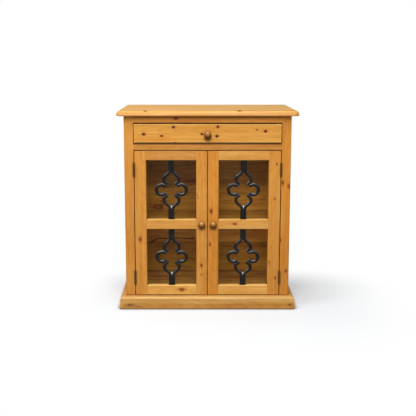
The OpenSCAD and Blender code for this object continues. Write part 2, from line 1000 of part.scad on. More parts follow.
// Left lobe between its two cusps
module lobe_bar() {
    c = [-lobe_x, 0];
    upper = c + cusp_up * lobe_r;
    cusp_end = cusp_out * cusp_reach - cusp_up * bar_off;
    for (side = [-1, 1])
        scale([1, 1, side])
            bar_line(upper, cusp_end, bar_lap, -bar_lap);
    bar_arc(c, lobe_r, 90 - cusp_angle, 270 + cusp_angle);
}

// Web of weld in the crotch between the two bars
module weld() {
    inner_r = neck_r + bar_w / 2;
    half = inner_r - sqrt(inner_r * inner_r - weld_h * weld_h) + weld_sink;
    along_y([-weld_half_t, weld_half_t])
        polygon([[0, neck_z], [half, neck_z - weld_h], [-half, neck_z - weld_h]]);
}

// A whole tracery standing between the rails of one pane
module tracery(pane) {
    half_h = (pane[1] - pane[0]) / 2;
    translate([pane_mid_x, bar_y, (pane[0] + pane[1]) / 2]) {
        for (up = [1, -1]) {
            for (side = [1, -1])
                scale([side, 1, up]) {
                    foil_bar(half_h);
                    translate([-bar_off, 0, half_h - pin_tenon_l])
                        cylinder(r = pin_tenon_r, h = 2 * pin_tenon_l);
                }
            scale([1, 1, up])
                weld();
        }
        for (side = [1, -1])
            scale([side, 1, 1])
                lobe_bar();
    }
}

// Hinges, drawn round the pin's axis with the door to the right

// A leaf with its knuckles; side is -1 on the frame and +1 on the door
module hinge_leaf(side, own_knuckles) {
    x = side > 0 ? [leaf_gap / 2, leaf_gap / 2 + leaf_t] : [-leaf_gap / 2 - leaf_t, -leaf_gap / 2];
    difference() {
        union() {
            block(x, [leaf_y0, leaf_y0 + leaf_w], [-hinge_l / 2, hinge_l / 2]);
            for (i = own_knuckles) {
                z0 = -hinge_l / 2 + i * knuckle_pitch + running_play / 2;
                z1 = z0 + knuckle_pitch - running_play;
                block(x, [0, leaf_y0], [z0, z1]);
                translate([0, 0, z0])
                    cylinder(r = knuckle_r, h = z1 - z0);
            }
        }
        translate([0, 0, -hinge_l])
            cylinder(r = hinge_pin_r + pin_play, h = 2 * hinge_l);
        hinge_screw_places(side)
            translate([0, 0, -past])
                cylinder(r1 = screw_r, r2 = screw_head_r + 2 * joint_play, h = leaf_t + past);
    }
}

// Puts screws in a leaf: local Z points out of the leaf's inner face, which is at leaf_t
module hinge_screw_places(side) {
    for (i = [0:screws_per_leaf - 1])
        translate([
            side * (leaf_gap / 2 + leaf_t),
            leaf_y0 + leaf_w / 2 + (i % 2 == 1 ? 1 : -1) * screw_stagger,
            (i + 0.5) * hinge_l / screws_per_leaf - hinge_l / 2
        ])
            rotate([0, -side * 90, 0])
                children();
}

// A countersunk wood screw in each hole of a leaf
module hinge_screws(side) {
    hinge_screw_places(side) {
        translate([0, 0, -screw_l])
            cylinder(r = screw_r - joint_play, h = screw_l + leaf_t / 2);
        cylinder(r1 = screw_r - joint_play, r2 = screw_head_r, h = leaf_t);
    }
}

// Pilot holes for those screws
module hinge_screw_holes(side) {
    hinge_screw_places(side)
        translate([0, 0, -screw_l - joint_play])
            cylinder(r = screw_r, h = screw_l + joint_play + leaf_t);
}

// Puts children at the two hinges of the left door
module at_hinges() {
    for (z = hinge_zs)
        translate([hinge_x, hinge_y, z])
            children();
}

module frame_hinge_leaves() {
    color(dark_bronze)
        placed()
            for (side = [1, -1])
                scale([side, 1, 1])
                    at_hinges()
                        hinge_leaf(-1, [0:2:knuckles - 1]);
}

module door_hinge_leaves() {
    at_hinges()
        hinge_leaf(1, [1:2:knuckles - 2]);
}

module hinge_pins() {
    color(dark_bronze)
        placed()
            for (side = [1, -1])
                scale([side, 1, 1])
                    at_hinges() {
                        translate([0, 0, -hinge_l / 2])
                            cylinder(r = hinge_pin_r, h = hinge_l);
                        for (end = [-hinge_l / 2 - pin_head_h, hinge_l / 2])
                            translate([0, 0, end])
                                cylinder(r = pin_head_r, h = pin_head_h);
                    }
}

module frame_hinge_screws() {
    color(dark_bronze)
        placed()
            for (side = [1, -1])
                scale([side, 1, 1])
                    at_hinges()
                        hinge_screws(-1);
}

module door_hinge_screws() {
    at_hinges()
        hinge_screws(1);
}

// Catches under the dust board, and the strike plates on the backs of the meeting stiles
strike_y = door_t + strike_t;

module door_catches() {
    color(catch_brown)
        placed()
            for (side = [-1, 1])
                translate([side * door_knob_x, 0, 0])
                    block(
                        [-catch_w / 2, catch_w / 2],
                        [strike_y + running_play, strike_y + running_play + catch_d],
                        [rail_z0 - catch_h, rail_z0]
                    );
}

module strike_plate() {
    translate([door_knob_x, 0, 0])
        block(
            [-catch_w / 2, catch_w / 2], [door_t, strike_y],
            [rail_z0 - catch_h, door_z1 - strike_inset]
        );
}

// The left door's pieces, and the right door's as their mirror image

module left_door_hinge_stile() {
    color(pine)
        placed()
            hinge_stile();
}

module right_door_hinge_stile() {
    color(pine)
        placed_right()
            hinge_stile();
}

module left_door_meeting_stile() {
    color(pine)
        placed()
            meeting_stile();
}

module right_door_meeting_stile() {
    color(pine)
        placed_right()
            meeting_stile();
}

module left_door_top_rail() {
    color(pine)
        placed()
            top_rail();
}

module right_door_top_rail() {
    color(pine)
        placed_right()
            top_rail();
}

module left_door_middle_rail() {
    color(pine)
        placed()
            middle_rail();
}

module right_door_middle_rail() {
    color(pine)
        placed_right()
            middle_rail();
}

module left_door_bottom_rail() {
    color(pine)
        placed()
            bottom_rail();
}

module right_door_bottom_rail() {
    color(pine)
        placed_right()
            bottom_rail();
}

module left_door_upper_glass() {
    color(clear_glass)
        placed()
            glass(upper_pane);
}

module right_door_upper_glass() {
    color(clear_glass)
        placed_right()
            glass(upper_pane);
}

module left_door_lower_glass() {
    color(clear_glass)
        placed()
            glass(lower_pane);
}

module right_door_lower_glass() {
    color(clear_glass)
        placed_right()
            glass(lower_pane);
}

module left_door_glazing_beads() {
    color(pine_inside)
        placed()
            glazing_beads();
}

module right_door_glazing_beads() {
    color(pine_inside)
        placed_right()
            glazing_beads();
}

module left_door_upper_ironwork() {
    color(black_iron)
        placed()
            tracery(upper_pane);
}

module right_door_upper_ironwork() {
    color(black_iron)
        placed_right()
            tracery(upper_pane);
}

module left_door_lower_ironwork() {
    color(black_iron)
        placed()
            tracery(lower_pane);
}

module right_door_lower_ironwork() {
    color(black_iron)
        placed_right()
            tracery(lower_pane);
}

module left_door_knob() {
    color(turned_wood)
        placed()
            knob(door_knob_x, door_knob_z, 0, door_knob_r, door_knob_l);
}

module right_door_knob() {
    color(turned_wood)
        placed_right()
            knob(door_knob_x, door_knob_z, 0, door_knob_r, door_knob_l);
}

module left_door_hinge_leaves() {
    color(dark_bronze)
        placed()
            door_hinge_leaves();
}

module right_door_hinge_leaves() {
    color(dark_bronze)
        placed_right()
            door_hinge_leaves();
}

module left_door_hinge_screws() {
    color(dark_bronze)
        placed()
            door_hinge_screws();
}

module right_door_hinge_screws() {
    color(dark_bronze)
        placed_right()
            door_hinge_screws();
}

module left_door_strike_plate() {
    color(bright_steel)
        placed()
            strike_plate();
}

module right_door_strike_plate() {
    color(bright_steel)
        placed_right()
            strike_plate();
}

top_board();
left_side();
right_side();
left_frame_stile();
right_frame_stile();
frieze_rail();
drawer_rail();
sill_rail();
floor_board();
floor_battens();
shelf();
shelf_battens();
back_boards();
dust_board();
left_drawer_runner();
right_drawer_runner();
drawer_kickers();
drawer_stops();
top_battens();
plinth_front();
plinth_left();
plinth_right();
door_catches();
frame_hinge_leaves();
hinge_pins();
frame_hinge_screws();
drawer_front();
drawer_left_side();
drawer_right_side();
drawer_back();
drawer_bottom();
drawer_knob();
left_door_hinge_stile();
left_door_meeting_stile();
left_door_top_rail();
left_door_middle_rail();
left_door_bottom_rail();
left_door_upper_glass();
left_door_lower_glass();
left_door_glazing_beads();
left_door_upper_ironwork();
left_door_lower_ironwork();
left_door_knob();
left_door_hinge_leaves();
left_door_hinge_screws();
left_door_strike_plate();
right_door_hinge_stile();
right_door_meeting_stile();
right_door_top_rail();
right_door_middle_rail();
right_door_bottom_rail();
right_door_upper_glass();
right_door_lower_glass();
right_door_glazing_beads();
right_door_upper_ironwork();
right_door_lower_ironwork();
right_door_knob();
right_door_hinge_leaves();
right_door_hinge_screws();
right_door_strike_plate();
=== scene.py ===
"""Looks of the pine display cabinet: waxed boards, forged tracery, turned knobs, glass and hinges."""
import math
import random

import bmesh
import bpy
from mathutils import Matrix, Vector


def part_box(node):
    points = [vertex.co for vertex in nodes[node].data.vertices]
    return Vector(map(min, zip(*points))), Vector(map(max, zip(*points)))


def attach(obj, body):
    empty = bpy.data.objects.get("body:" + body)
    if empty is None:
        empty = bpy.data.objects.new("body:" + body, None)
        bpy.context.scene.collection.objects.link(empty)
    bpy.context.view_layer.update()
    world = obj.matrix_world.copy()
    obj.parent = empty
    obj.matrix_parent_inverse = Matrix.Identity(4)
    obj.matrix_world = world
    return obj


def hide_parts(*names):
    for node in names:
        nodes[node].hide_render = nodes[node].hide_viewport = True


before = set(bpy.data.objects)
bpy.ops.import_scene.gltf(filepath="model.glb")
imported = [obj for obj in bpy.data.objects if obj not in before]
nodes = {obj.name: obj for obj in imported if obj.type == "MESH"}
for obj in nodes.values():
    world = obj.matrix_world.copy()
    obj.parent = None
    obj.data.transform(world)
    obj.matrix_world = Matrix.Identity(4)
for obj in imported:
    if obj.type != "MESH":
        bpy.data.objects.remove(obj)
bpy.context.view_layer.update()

# Lengths are in metres, and a pattern's scale counts its marks in a metre: 200 draws marks of 5 mm
MM = 0.001

DOORS = ("left", "right")
LEVELS = ("upper", "lower")
FACE_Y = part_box("left_frame_stile")[0].y
BACK_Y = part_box("back_boards")[1].y

# Colours of the finishes
HONEY = "#cd8a39"
AMBER = "#ce8631"
STRAW = "#d39748"
CORN = "#dda350"
BISCUIT = "#d3933e"
GINGER = "#d98f38"
TAN = "#c08036"
CREAM = "#cf954a"
# A paler colour for the plinth's moulding, a painted highlight
MOULDING_HIGHLIGHT = "#c9914b"
OCHRE = "#c88b41"
INSIDE = "#a56e26"
DUSTY = "#ab773a"
DRAWER_INSIDE = "#d3a062"


def srgb(code):
    """Turns an sRGB hex value into the linear colour that a shader takes."""
    parts = [int(code[i:i + 2], 16) / 255 for i in (1, 3, 5)]
    return (*[p / 12.92 if p <= 0.04045 else ((p + 0.055) / 1.055) ** 2.4 for p in parts], 1.0)


def add(tree, kind, inputs=None, stops=None, **settings):
    """Adds a node with its settings; each input takes a value, a socket, or a node for its first output.
    A Map Range's inputs 1 to 4 are From Min, From Max, To Min and To Max. A colour Mix has its factor at
    input 0, its colours at 6 and 7, and its result at output 2."""
    made = tree.nodes.new(kind)
    for name, value in settings.items():
        setattr(made, name, value)
    for key, value in (inputs or {}).items():
        if isinstance(value, bpy.types.Node):
            value = value.outputs[0]
        if isinstance(value, bpy.types.NodeSocket):
            tree.links.new(value, made.inputs[key])
        else:
            made.inputs[key].default_value = value
    if stops:
        ramp = made.color_ramp
        for i, (place, colour) in enumerate(stops):
            stop = ramp.elements[i] if i < 2 else ramp.elements.new(place)
            stop.position = place
            stop.color = colour
    return made


def new_group(name, kind, inputs, outputs):
    """A node group with its input and output nodes; inputs are (name, socket type, default or None)."""
    tree = bpy.data.node_groups.new(name, kind)
    for label, socket, value in inputs:
        made = tree.interface.new_socket(label, in_out="INPUT", socket_type="NodeSocket" + socket)
        if value is not None:
            made.default_value = value
    for label, socket in outputs:
        tree.interface.new_socket(label, in_out="OUTPUT", socket_type="NodeSocket" + socket)
    return tree, add(tree, "NodeGroupInput"), add(tree, "NodeGroupOutput")


def new_material(name):
    """An empty material with its output node."""
    made = bpy.data.materials.new(name)
    made.use_nodes = True
    made.node_tree.nodes.clear()
    return made, made.node_tree, add(made.node_tree, "ShaderNodeOutputMaterial")


def dress(node, material):
    """Gives a CAD node its material."""
    mesh = nodes[node].data
    mesh.materials.clear()
    mesh.materials.append(material)


# Pine

# How far apart the growth rings lie, measured out from the pith
RING_PITCH = 5.5 * MM

# What a knot does to the board: it pushes the rings aside, and shows its heart, its bark and a redder halo
SIGNS = ("Push", "Core", "Ring", "Halo")


def knot_group():
    """One knot's signs, over those of the knots before it. Reaches are counted in the knot's own radii."""
    tree, given, result = new_group(
        "pine knot", "ShaderNodeTree",
        [("Board", "Vector", None), ("Place", "Vector", None), ("Size", "Vector", (6 * MM, 5 * MM, 1)),
         ("Heart", "Float", 1.0), ("Bark", "Float", 0.5), *[(sign, "Float", 0.0) for sign in SIGNS]],
        [(sign, "Float") for sign in SIGNS],
    )
    raggedness = 0.9
    rim = 0.97 + raggedness / 2
    halo_shape = (0.42, 0.72, 0.0)
    rings_pushed = 1.3

    # The rim is ragged in steps of about 6 mm
    ragged = add(tree, "ShaderNodeTexNoise", {"Vector": given.outputs["Board"], "Scale": 160.0,
                                              "Detail": 2.0})
    away = add(tree, "ShaderNodeVectorMath", {0: given.outputs["Board"], 1: given.outputs["Place"]},
               operation="SUBTRACT")
    shares = add(tree, "ShaderNodeVectorMath", {0: away, 1: given.outputs["Size"]}, operation="DIVIDE")
    near = add(tree, "ShaderNodeVectorMath", {0: shares, 1: (1.0, 1.0, 0.0)}, operation="MULTIPLY")
    reach = add(tree, "ShaderNodeVectorMath", {0: near}, operation="LENGTH")
    rough_reach = add(tree, "ShaderNodeMath", {0: ragged, 1: raggedness, 2: reach.outputs["Value"]},
                      operation="MULTIPLY_ADD")
    wide = add(tree, "ShaderNodeVectorMath", {0: shares, 1: halo_shape}, operation="MULTIPLY")
    wide_reach = add(tree, "ShaderNodeVectorMath", {0: wide}, operation="LENGTH")
    core = add(tree, "ShaderNodeMapRange", {0: rough_reach, 1: 1.6, 2: 1.15, 3: 0.0, 4: 1.0},
               interpolation_type="SMOOTHSTEP")
    core_part = add(tree, "ShaderNodeMath", {0: core, 1: given.outputs["Heart"]}, operation="MULTIPLY")
    past_rim = add(tree, "ShaderNodeMath", {0: rough_reach, 1: rim}, operation="SUBTRACT")
    off_rim = add(tree, "ShaderNodeMath", {0: past_rim}, operation="ABSOLUTE")
    ring = add(tree, "ShaderNodeMapRange", {0: off_rim, 1: 0.34, 2: 0.06, 3: 0.0, 4: given.outputs["Bark"]})
    halo = add(tree, "ShaderNodeMapRange", {0: wide_reach.outputs["Value"], 1: 1.5, 2: 0.3, 3: 0.0, 4: 1.0},
               interpolation_type="SMOOTHSTEP")
    push = add(tree, "ShaderNodeMath", {0: halo, 1: rings_pushed, 2: given.outputs["Push"]},
               operation="MULTIPLY_ADD")
    tree.links.new(push.outputs[0], result.inputs["Push"])
    for label, part in (("Core", core_part), ("Ring", ring), ("Halo", halo)):
        most = add(tree, "ShaderNodeMath", {0: part, 1: given.outputs[label]}, operation="MAXIMUM")
        tree.links.new(most.outputs[0], result.inputs[label])
    return tree


def figure_group():
    """The figure of a pine board: growth rings cut at a slant, fine fibres, slow changes of tone, knots and
    stain, with paler arrises that are partly real and partly a painted highlight, paler faces that are a
    painted highlight, and painted shade."""
    tree, given, result = new_group(
        "pine figure", "ShaderNodeTree",
        [("Board", "Vector", None), ("Seed", "Vector", None), ("Pith", "Vector", None),
         ("Tone", "Color", srgb(HONEY)), ("Contrast", "Float", 1.0), ("End", "Float", 0.0),
         ("Painted Highlight", "Float", 0.0), ("Wear And Highlight", "Float", 0.6), ("Painted Shade", "Float", 0.0), ("Veins", "Float", 0.0),
         ("Crack", "Float", 0.0), ("Redness", "Float", 1.0), ("Heartwood", "Color", srgb("#7a360b")),
         *[(sign, "Float", 0.0) for sign in SIGNS]],
        [("Color", "Color"), ("Height", "Float"), ("Roughness", "Float")],
    )
    board = given.outputs["Board"]

    def clouds(scale, detail, roughness=0.5):
        """A cloudy pattern, another one on each board; scale is along its grain, across it and into it."""
        stretched = add(tree, "ShaderNodeVectorMath", {0: board, 1: scale, 2: given.outputs["Seed"]},
                        operation="MULTIPLY_ADD")
        return add(tree, "ShaderNodeTexNoise", {"Vector": stretched, "Scale": 1.0, "Detail": detail,
                                                "Roughness": roughness})

    # The rings wander in bends of 170 mm. Fibres are drawn 2.4 mm wide, coarser than real ones, so that they
    # show. Streaks of stain are 11 mm wide, patches of a darker tone 80 mm and those of a redder hue 26 mm
    wander = clouds((1.7, 6.0, 6.0), 2.0)
    fibres = clouds((25.0, 420.0, 420.0), 3.0, 0.65)
    streaks = clouds((4.5, 90.0, 90.0), 3.0, 0.6)
    patches = clouds((3.0, 12.0, 12.0), 3.0)
    hues = clouds((5.0, 38.0, 38.0), 2.0)

    # Rings round a pith that leans away from the board, so that they run out as long pointed arches
    from_pith = add(tree, "ShaderNodeVectorMath", {0: board, 1: given.outputs["Pith"]},
                    operation="SUBTRACT")
    parts = add(tree, "ShaderNodeSeparateXYZ", {0: from_pith})
    wave = add(tree, "ShaderNodeMath", {0: wander, 1: 0.5}, operation="SUBTRACT")
    waviness = 30 * MM
    lean = 0.07
    across = add(tree, "ShaderNodeMath", {0: wave, 1: waviness, 2: parts.outputs[1]},
                 operation="MULTIPLY_ADD")
    depth = add(tree, "ShaderNodeMath", {0: parts.outputs[0], 1: lean, 2: parts.outputs[2]},
                operation="MULTIPLY_ADD")
    slant = add(tree, "ShaderNodeCombineXYZ", {0: across, 1: depth})
    radius = add(tree, "ShaderNodeVectorMath", {0: slant}, operation="LENGTH")
    rings = add(tree, "ShaderNodeMath", {0: radius.outputs["Value"], 1: 1 / RING_PITCH,
                                         2: given.outputs["Push"]}, operation="MULTIPLY_ADD")
    within = add(tree, "ShaderNodeMath", {0: rings}, operation="FRACT")
    late = add(tree, "ShaderNodeValToRGB", {0: within}, stops=[
        (0.0, (0, 0, 0, 1)), (0.5, (0.14, 0.14, 0.14, 1)), (0.86, (1, 1, 1, 1)), (1.0, (0, 0, 0, 1))])

    # How much the late wood, the fibres, the streaks and the patches darken it; a darker place is redder too
    depth_of_tone = add(tree, "ShaderNodeMath", {0: late, 1: 0.09}, operation="MULTIPLY")
    for part, share in ((fibres, 0.3), (streaks, 0.55), (patches, 0.3)):
        middle = add(tree, "ShaderNodeMath", {0: part, 1: 0.5}, operation="SUBTRACT")
        depth_of_tone = add(tree, "ShaderNodeMath", {0: middle, 1: share, 2: depth_of_tone},
                            operation="MULTIPLY_ADD")
    drawn = add(tree, "ShaderNodeMath", {0: depth_of_tone, 1: given.outputs["Contrast"]},
                operation="MULTIPLY")
    level = add(tree, "ShaderNodeMath", {0: 1.06, 1: drawn}, operation="SUBTRACT")
    red_green_blue = [add(tree, "ShaderNodeMath", {0: level, 1: power}, operation="POWER")
                      for power in (0.8, 1.35, 2.1)]
    shade = add(tree, "ShaderNodeCombineXYZ", dict(enumerate(red_green_blue)))
    redder = add(tree, "ShaderNodeMapRange", {0: hues, 1: 0.35, 2: 0.65, 3: 0.0,
                                              4: given.outputs["Redness"]})
    hue = add(tree, "ShaderNodeMix", {0: redder, 6: (1.04, 1.06, 1.12, 1), 7: (1.0, 0.93, 0.8, 1)},
              data_type="RGBA")
    tinted = add(tree, "ShaderNodeVectorMath", {0: given.outputs["Tone"], 1: hue.outputs[2]},
                 operation="MULTIPLY")
    wood = add(tree, "ShaderNodeVectorMath", {0: tinted, 1: shade}, operation="MULTIPLY")

    # Round a knot the wood turns towards the knot's own colour, and the knot's heart shows its late wood
    redder_wood = add(tree, "ShaderNodeVectorMath", {0: given.outputs["Heartwood"], "Scale": 2.5},
                      operation="SCALE")
    round_knot = add(tree, "ShaderNodeMix", {0: given.outputs["Halo"], 6: wood, 7: redder_wood},
                     data_type="RGBA", blend_type="MULTIPLY")
    halo_part = add(tree, "ShaderNodeMix", {0: 0.5, 6: wood, 7: round_knot.outputs[2]}, data_type="RGBA")
    heart = add(tree, "ShaderNodeMix", {0: late, 6: given.outputs["Heartwood"], 7: srgb("#2b1002")},
                data_type="RGBA")
    knotted = add(tree, "ShaderNodeMix", {0: given.outputs["Core"], 6: halo_part.outputs[2],
                                          7: heart.outputs[2]}, data_type="RGBA")
    barked = add(tree, "ShaderNodeMix", {0: given.outputs["Ring"], 6: knotted.outputs[2],
                                         7: srgb("#2c1004")}, data_type="RGBA")
    ended = add(tree, "ShaderNodeMix", {0: given.outputs["End"], 6: barked.outputs[2], 7: srgb("#cbab84")},
                data_type="RGBA", blend_type="MULTIPLY")

    # Thin dark veins that wander along the grain, about 90 mm apart, and break off
    wavy = add(tree, "ShaderNodeMath", {0: clouds((2.4, 11.0, 11.0), 3.0), 1: 0.5}, operation="SUBTRACT")
    off_vein = add(tree, "ShaderNodeMath", {0: wavy}, operation="ABSOLUTE")
    line = add(tree, "ShaderNodeMapRange", {0: off_vein, 1: 0.004, 2: 0.022, 3: 1.0, 4: 0.0})
    broken = add(tree, "ShaderNodeMapRange", {0: clouds((5.0, 7.0, 7.0), 2.0), 1: 0.5, 2: 0.62})
    vein = add(tree, "ShaderNodeMath", {0: line, 1: broken}, operation="MULTIPLY")
    veined = add(tree, "ShaderNodeMath", {0: vein, 1: given.outputs["Veins"]}, operation="MULTIPLY")
    split = add(tree, "ShaderNodeMath", {0: veined, 1: given.outputs["Crack"]}, operation="MAXIMUM")
    crossed = add(tree, "ShaderNodeMix", {0: split, 6: ended.outputs[2], 7: srgb("#241004")},
                  data_type="RGBA")

    # Paler arrises, partly real and partly a painted highlight; paler upward faces and lines, a painted
    # highlight; and painted shade in corners and along lines where shade falls
    paler = add(tree, "ShaderNodeVectorMath", {0: crossed.outputs[2], 1: (1.14, 1.38, 1.75)},
                operation="MULTIPLY")
    edge = add(tree, "ShaderNodeAmbientOcclusion", {"Distance": 3.5 * MM}, samples=6, inside=True)
    edge_wear_and_highlight = add(tree, "ShaderNodeMapRange", {0: edge.outputs["AO"], 1: 0.92, 2: 0.45, 3: 0.0,
                                                 4: given.outputs["Wear And Highlight"]})
    wear_and_highlight = add(tree, "ShaderNodeMath", {0: edge_wear_and_highlight, 1: given.outputs["Painted Highlight"]}, operation="MAXIMUM")
    worn_and_highlighted = add(tree, "ShaderNodeMix", {0: wear_and_highlight, 6: crossed.outputs[2], 7: paler}, data_type="RGBA")
    # Painted shade: darker where other surfaces lie within 9 mm, in corners and gaps
    corner = add(tree, "ShaderNodeAmbientOcclusion", {"Distance": 9 * MM}, samples=6)
    corner_shade = add(tree, "ShaderNodeMapRange", {0: corner.outputs["AO"], 1: 0.88, 2: 0.4, 3: 0.0, 4: 0.95})
    all_painted_shade = add(tree, "ShaderNodeMath", {0: corner_shade, 1: given.outputs["Painted Shade"]}, operation="MAXIMUM")
    shaded = add(tree, "ShaderNodeMix", {0: all_painted_shade, 6: worn_and_highlighted.outputs[2], 7: srgb("#4a290e")}, data_type="RGBA",
               blend_type="MULTIPLY")
    tree.links.new(shaded.outputs[2], result.inputs["Color"])

    relief = add(tree, "ShaderNodeMath", {0: late, 1: -0.35, 2: fibres}, operation="MULTIPLY_ADD")
    tree.links.new(relief.outputs[0], result.inputs["Height"])
    wax = add(tree, "ShaderNodeMapRange", {0: streaks, 1: 0.3, 2: 0.7, 3: 0.38, 4: 0.5})
    tree.links.new(wax.outputs[0], result.inputs["Roughness"])
    return tree


KNOT = knot_group()
FIGURE = figure_group()


def pine(node, order, tone, contrast, pale, wear_and_highlight):
    """Waxed pine, planed and polished: a warm colour that deepens in the late wood, with a soft sheen, and
    with painted highlights and painted shade. The arguments after the node are what BOARDS says of it."""
    chance = random.Random(node)
    low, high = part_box(node)
    made, tree, result = new_material("waxed_pine_" + node)
    place = add(tree, "ShaderNodeTexCoord")
    axes = add(tree, "ShaderNodeSeparateXYZ", {0: place.outputs["Object"]})
    board = add(tree, "ShaderNodeCombineXYZ",
                {i: axes.outputs["xyz".index(axis)] for i, axis in enumerate(order)})
    facing = add(tree, "ShaderNodeSeparateXYZ", {0: place.outputs["Normal"]})
    along = add(tree, "ShaderNodeMath", {0: facing.outputs["xyz".index(order[0])]}, operation="ABSOLUTE")
    end = add(tree, "ShaderNodeMapRange", {0: along, 1: 0.75, 2: 0.95})
    # Faces that look up are painted paler, a painted highlight, and so are the listed lines
    painted_highlight = add(tree, "ShaderNodeMapRange", {0: facing.outputs["Z"], 1: 0.3, 2: 0.9, 3: 0.0, 4: pale})
    painted_highlight = level_lines(tree, axes, PAINTED_HIGHLIGHT_LINES.get(node, ()), painted_highlight)
    # Painted shade along the listed lines
    painted_shade = level_lines(tree, axes, PAINTED_SHADE_LINES.get(node, ()), 0.0)
    colour = srgb(tone)
    marks = {"Redness": 0.35 if tone in (INSIDE, DUSTY) else 1.0}
    # The plinth's moulding gets a paler colour and the full painted highlight
    if node == "plinth_front":
        moulding = add(tree, "ShaderNodeMapRange", {0: axes.outputs["Z"], 1: PLINTH_BAND_TOP,
                                                    2: PLINTH_BAND_TOP + MM})
        colour = add(tree, "ShaderNodeMix", {0: moulding, 6: colour, 7: srgb(MOULDING_HIGHLIGHT)},
                     data_type="RGBA").outputs[2]
        painted_highlight = add(tree, "ShaderNodeMath", {0: painted_highlight, 1: moulding}, operation="MAXIMUM")
        marks["Heartwood"] = srgb("#634a22")
    # A painted shadow under the knob
    if node in KNOB_SHADOWED:
        painted_shade = knob_shadow(tree, place, KNOB_SHADOWED[node], painted_shade)
    middle = (low + high) / 2
    pith = [
        middle["xyz".index(order[0])] + chance.choice((-1, 1)) * chance.uniform(0.2, 0.9),
        middle["xyz".index(order[1])] + chance.uniform(-0.03, 0.03),
        middle["xyz".index(order[2])] + chance.choice((-1, 1)) * chance.uniform(0.05, 0.09),
    ]
    signs = knots_in(tree, board, order, KNOTS.get(node, ()))
    if node == "back_boards":
        colour = plank_tones_and_light(tree, tone, axes.outputs["X"], axes.outputs["Z"])
        marks.update({"Veins": 0.35, "Crack": back_crack(tree, board, axes)})
    seed = [chance.uniform(0, 90) for _ in range(3)]
    figure = add(tree, "ShaderNodeGroup", {"Board": board, "Seed": seed, "Pith": pith, "Tone": colour,
                                           "Contrast": contrast, "End": end, "Painted Highlight": painted_highlight, "Wear And Highlight": wear_and_highlight,
                                           "Painted Shade": painted_shade, **marks, **signs}, node_tree=FIGURE)
    relief = add(tree, "ShaderNodeBump", {"Height": figure.outputs["Height"], "Strength": 0.35,
                                          "Distance": 0.3 * MM})
    surface = add(tree, "ShaderNodeBsdfPrincipled", {
        "Base Color": figure.outputs["Color"], "Roughness": figure.outputs["Roughness"],
        "Specular IOR Level": 0.3, "IOR": 1.46, "Normal": relief.outputs[0]})
    tree.links.new(surface.outputs[0], result.inputs["Surface"])
    return made


def knots_in(tree, board, order, knots):
    """A board's knots one after another, each over the signs of those before it; gives all their signs."""
    face = [axis for axis in "xyz" if axis in order[:2]]
    signs = {}
    for one, two, radius, heart, *shape in knots:
        length, bark = shape or USUAL_KNOT
        spot = [(one if axis == face[0] else two) * MM for axis in order[:2]] + [0]
        size = (length * radius * MM, radius * MM, 1)
        knot = add(tree, "ShaderNodeGroup", {"Board": board, "Place": spot, "Size": size, "Heart": heart,
                                             "Bark": bark, **signs}, node_tree=KNOT)
        signs = {sign: knot.outputs[sign] for sign in SIGNS}
    return signs


def knob_shadow(tree, place, spot, under):
    """A painted shadow on the face of a board under its knob, over a value."""
    x, z = spot
    off_knob = add(tree, "ShaderNodeVectorMath", {0: place.outputs["Object"], 1: (x, 0, z)},
                   operation="SUBTRACT")
    on_face = add(tree, "ShaderNodeVectorMath", {0: off_knob, 1: (1, 0, 1)}, operation="MULTIPLY")
    reach = add(tree, "ShaderNodeVectorMath", {0: on_face}, operation="LENGTH")
    facing = add(tree, "ShaderNodeSeparateXYZ", {0: place.outputs["Normal"]})
    forward = add(tree, "ShaderNodeMapRange", {0: facing.outputs["Y"], 1: -0.3, 2: -0.8, 3: 0.0,
                                               4: KNOB_SHADOW_STRENGTH})
    mark = add(tree, "ShaderNodeMapRange", {0: reach.outputs["Value"], 1: KNOB_SHADOW_R, 2: KNOB_SHADOW_CORE_R,
                                            3: 0.0, 4: forward}, interpolation_type="SMOOTHSTEP")
    return add(tree, "ShaderNodeMath", {0: mark, 1: under}, operation="MAXIMUM")


def level_lines(tree, axes, lines, under):
    """Lines that run level round the cabinet, each with its height, half width and strength, over a
    value."""
    drawn = under
    for height, half_width, most in lines:
        above = add(tree, "ShaderNodeMath", {0: axes.outputs["Z"], 1: height}, operation="SUBTRACT")
        off_line = add(tree, "ShaderNodeMath", {0: above}, operation="ABSOLUTE")
        line = add(tree, "ShaderNodeMapRange", {0: off_line, 1: half_width, 2: half_width / 2, 3: 0.0,
                                                4: most})
        drawn = add(tree, "ShaderNodeMath", {0: line, 1: drawn}, operation="MAXIMUM")
    return drawn


def plank_tones_and_light(tree, tone, across, height):
    """Each back board came from another plank, some paler than others. The third board from the floor is paler
    still and the right ends of all are paler, both painted light. A ramp's colours end at 1, so the planks'
    levels are halved in it and doubled after."""
    low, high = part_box("back_boards")
    up = add(tree, "ShaderNodeMapRange", {0: height, 1: low.z, 2: high.z})
    shares = [(seam - low.z) / (high.z - low.z) for seam in BACK_SEAMS]
    planks = add(tree, "ShaderNodeValToRGB", {0: up}, stops=[
        (share, (level / 2, level / 2, level / 2, 1)) for share, level in zip(shares, PLANK_TONES_AND_LIGHT)])
    planks.color_ramp.interpolation = "CONSTANT"
    # Painted light: the boards turn paler towards their right ends
    painted_light_right = add(tree, "ShaderNodeMapRange", {0: across, 1: 0.0, 2: 200 * MM, 3: 2.0, 4: 2.5},
                   interpolation_type="SMOOTHSTEP")
    scaled = add(tree, "ShaderNodeVectorMath", {0: planks, "Scale": painted_light_right}, operation="SCALE")
    return add(tree, "ShaderNodeVectorMath", {0: scaled, 1: srgb(tone)[:3]}, operation="MULTIPLY")


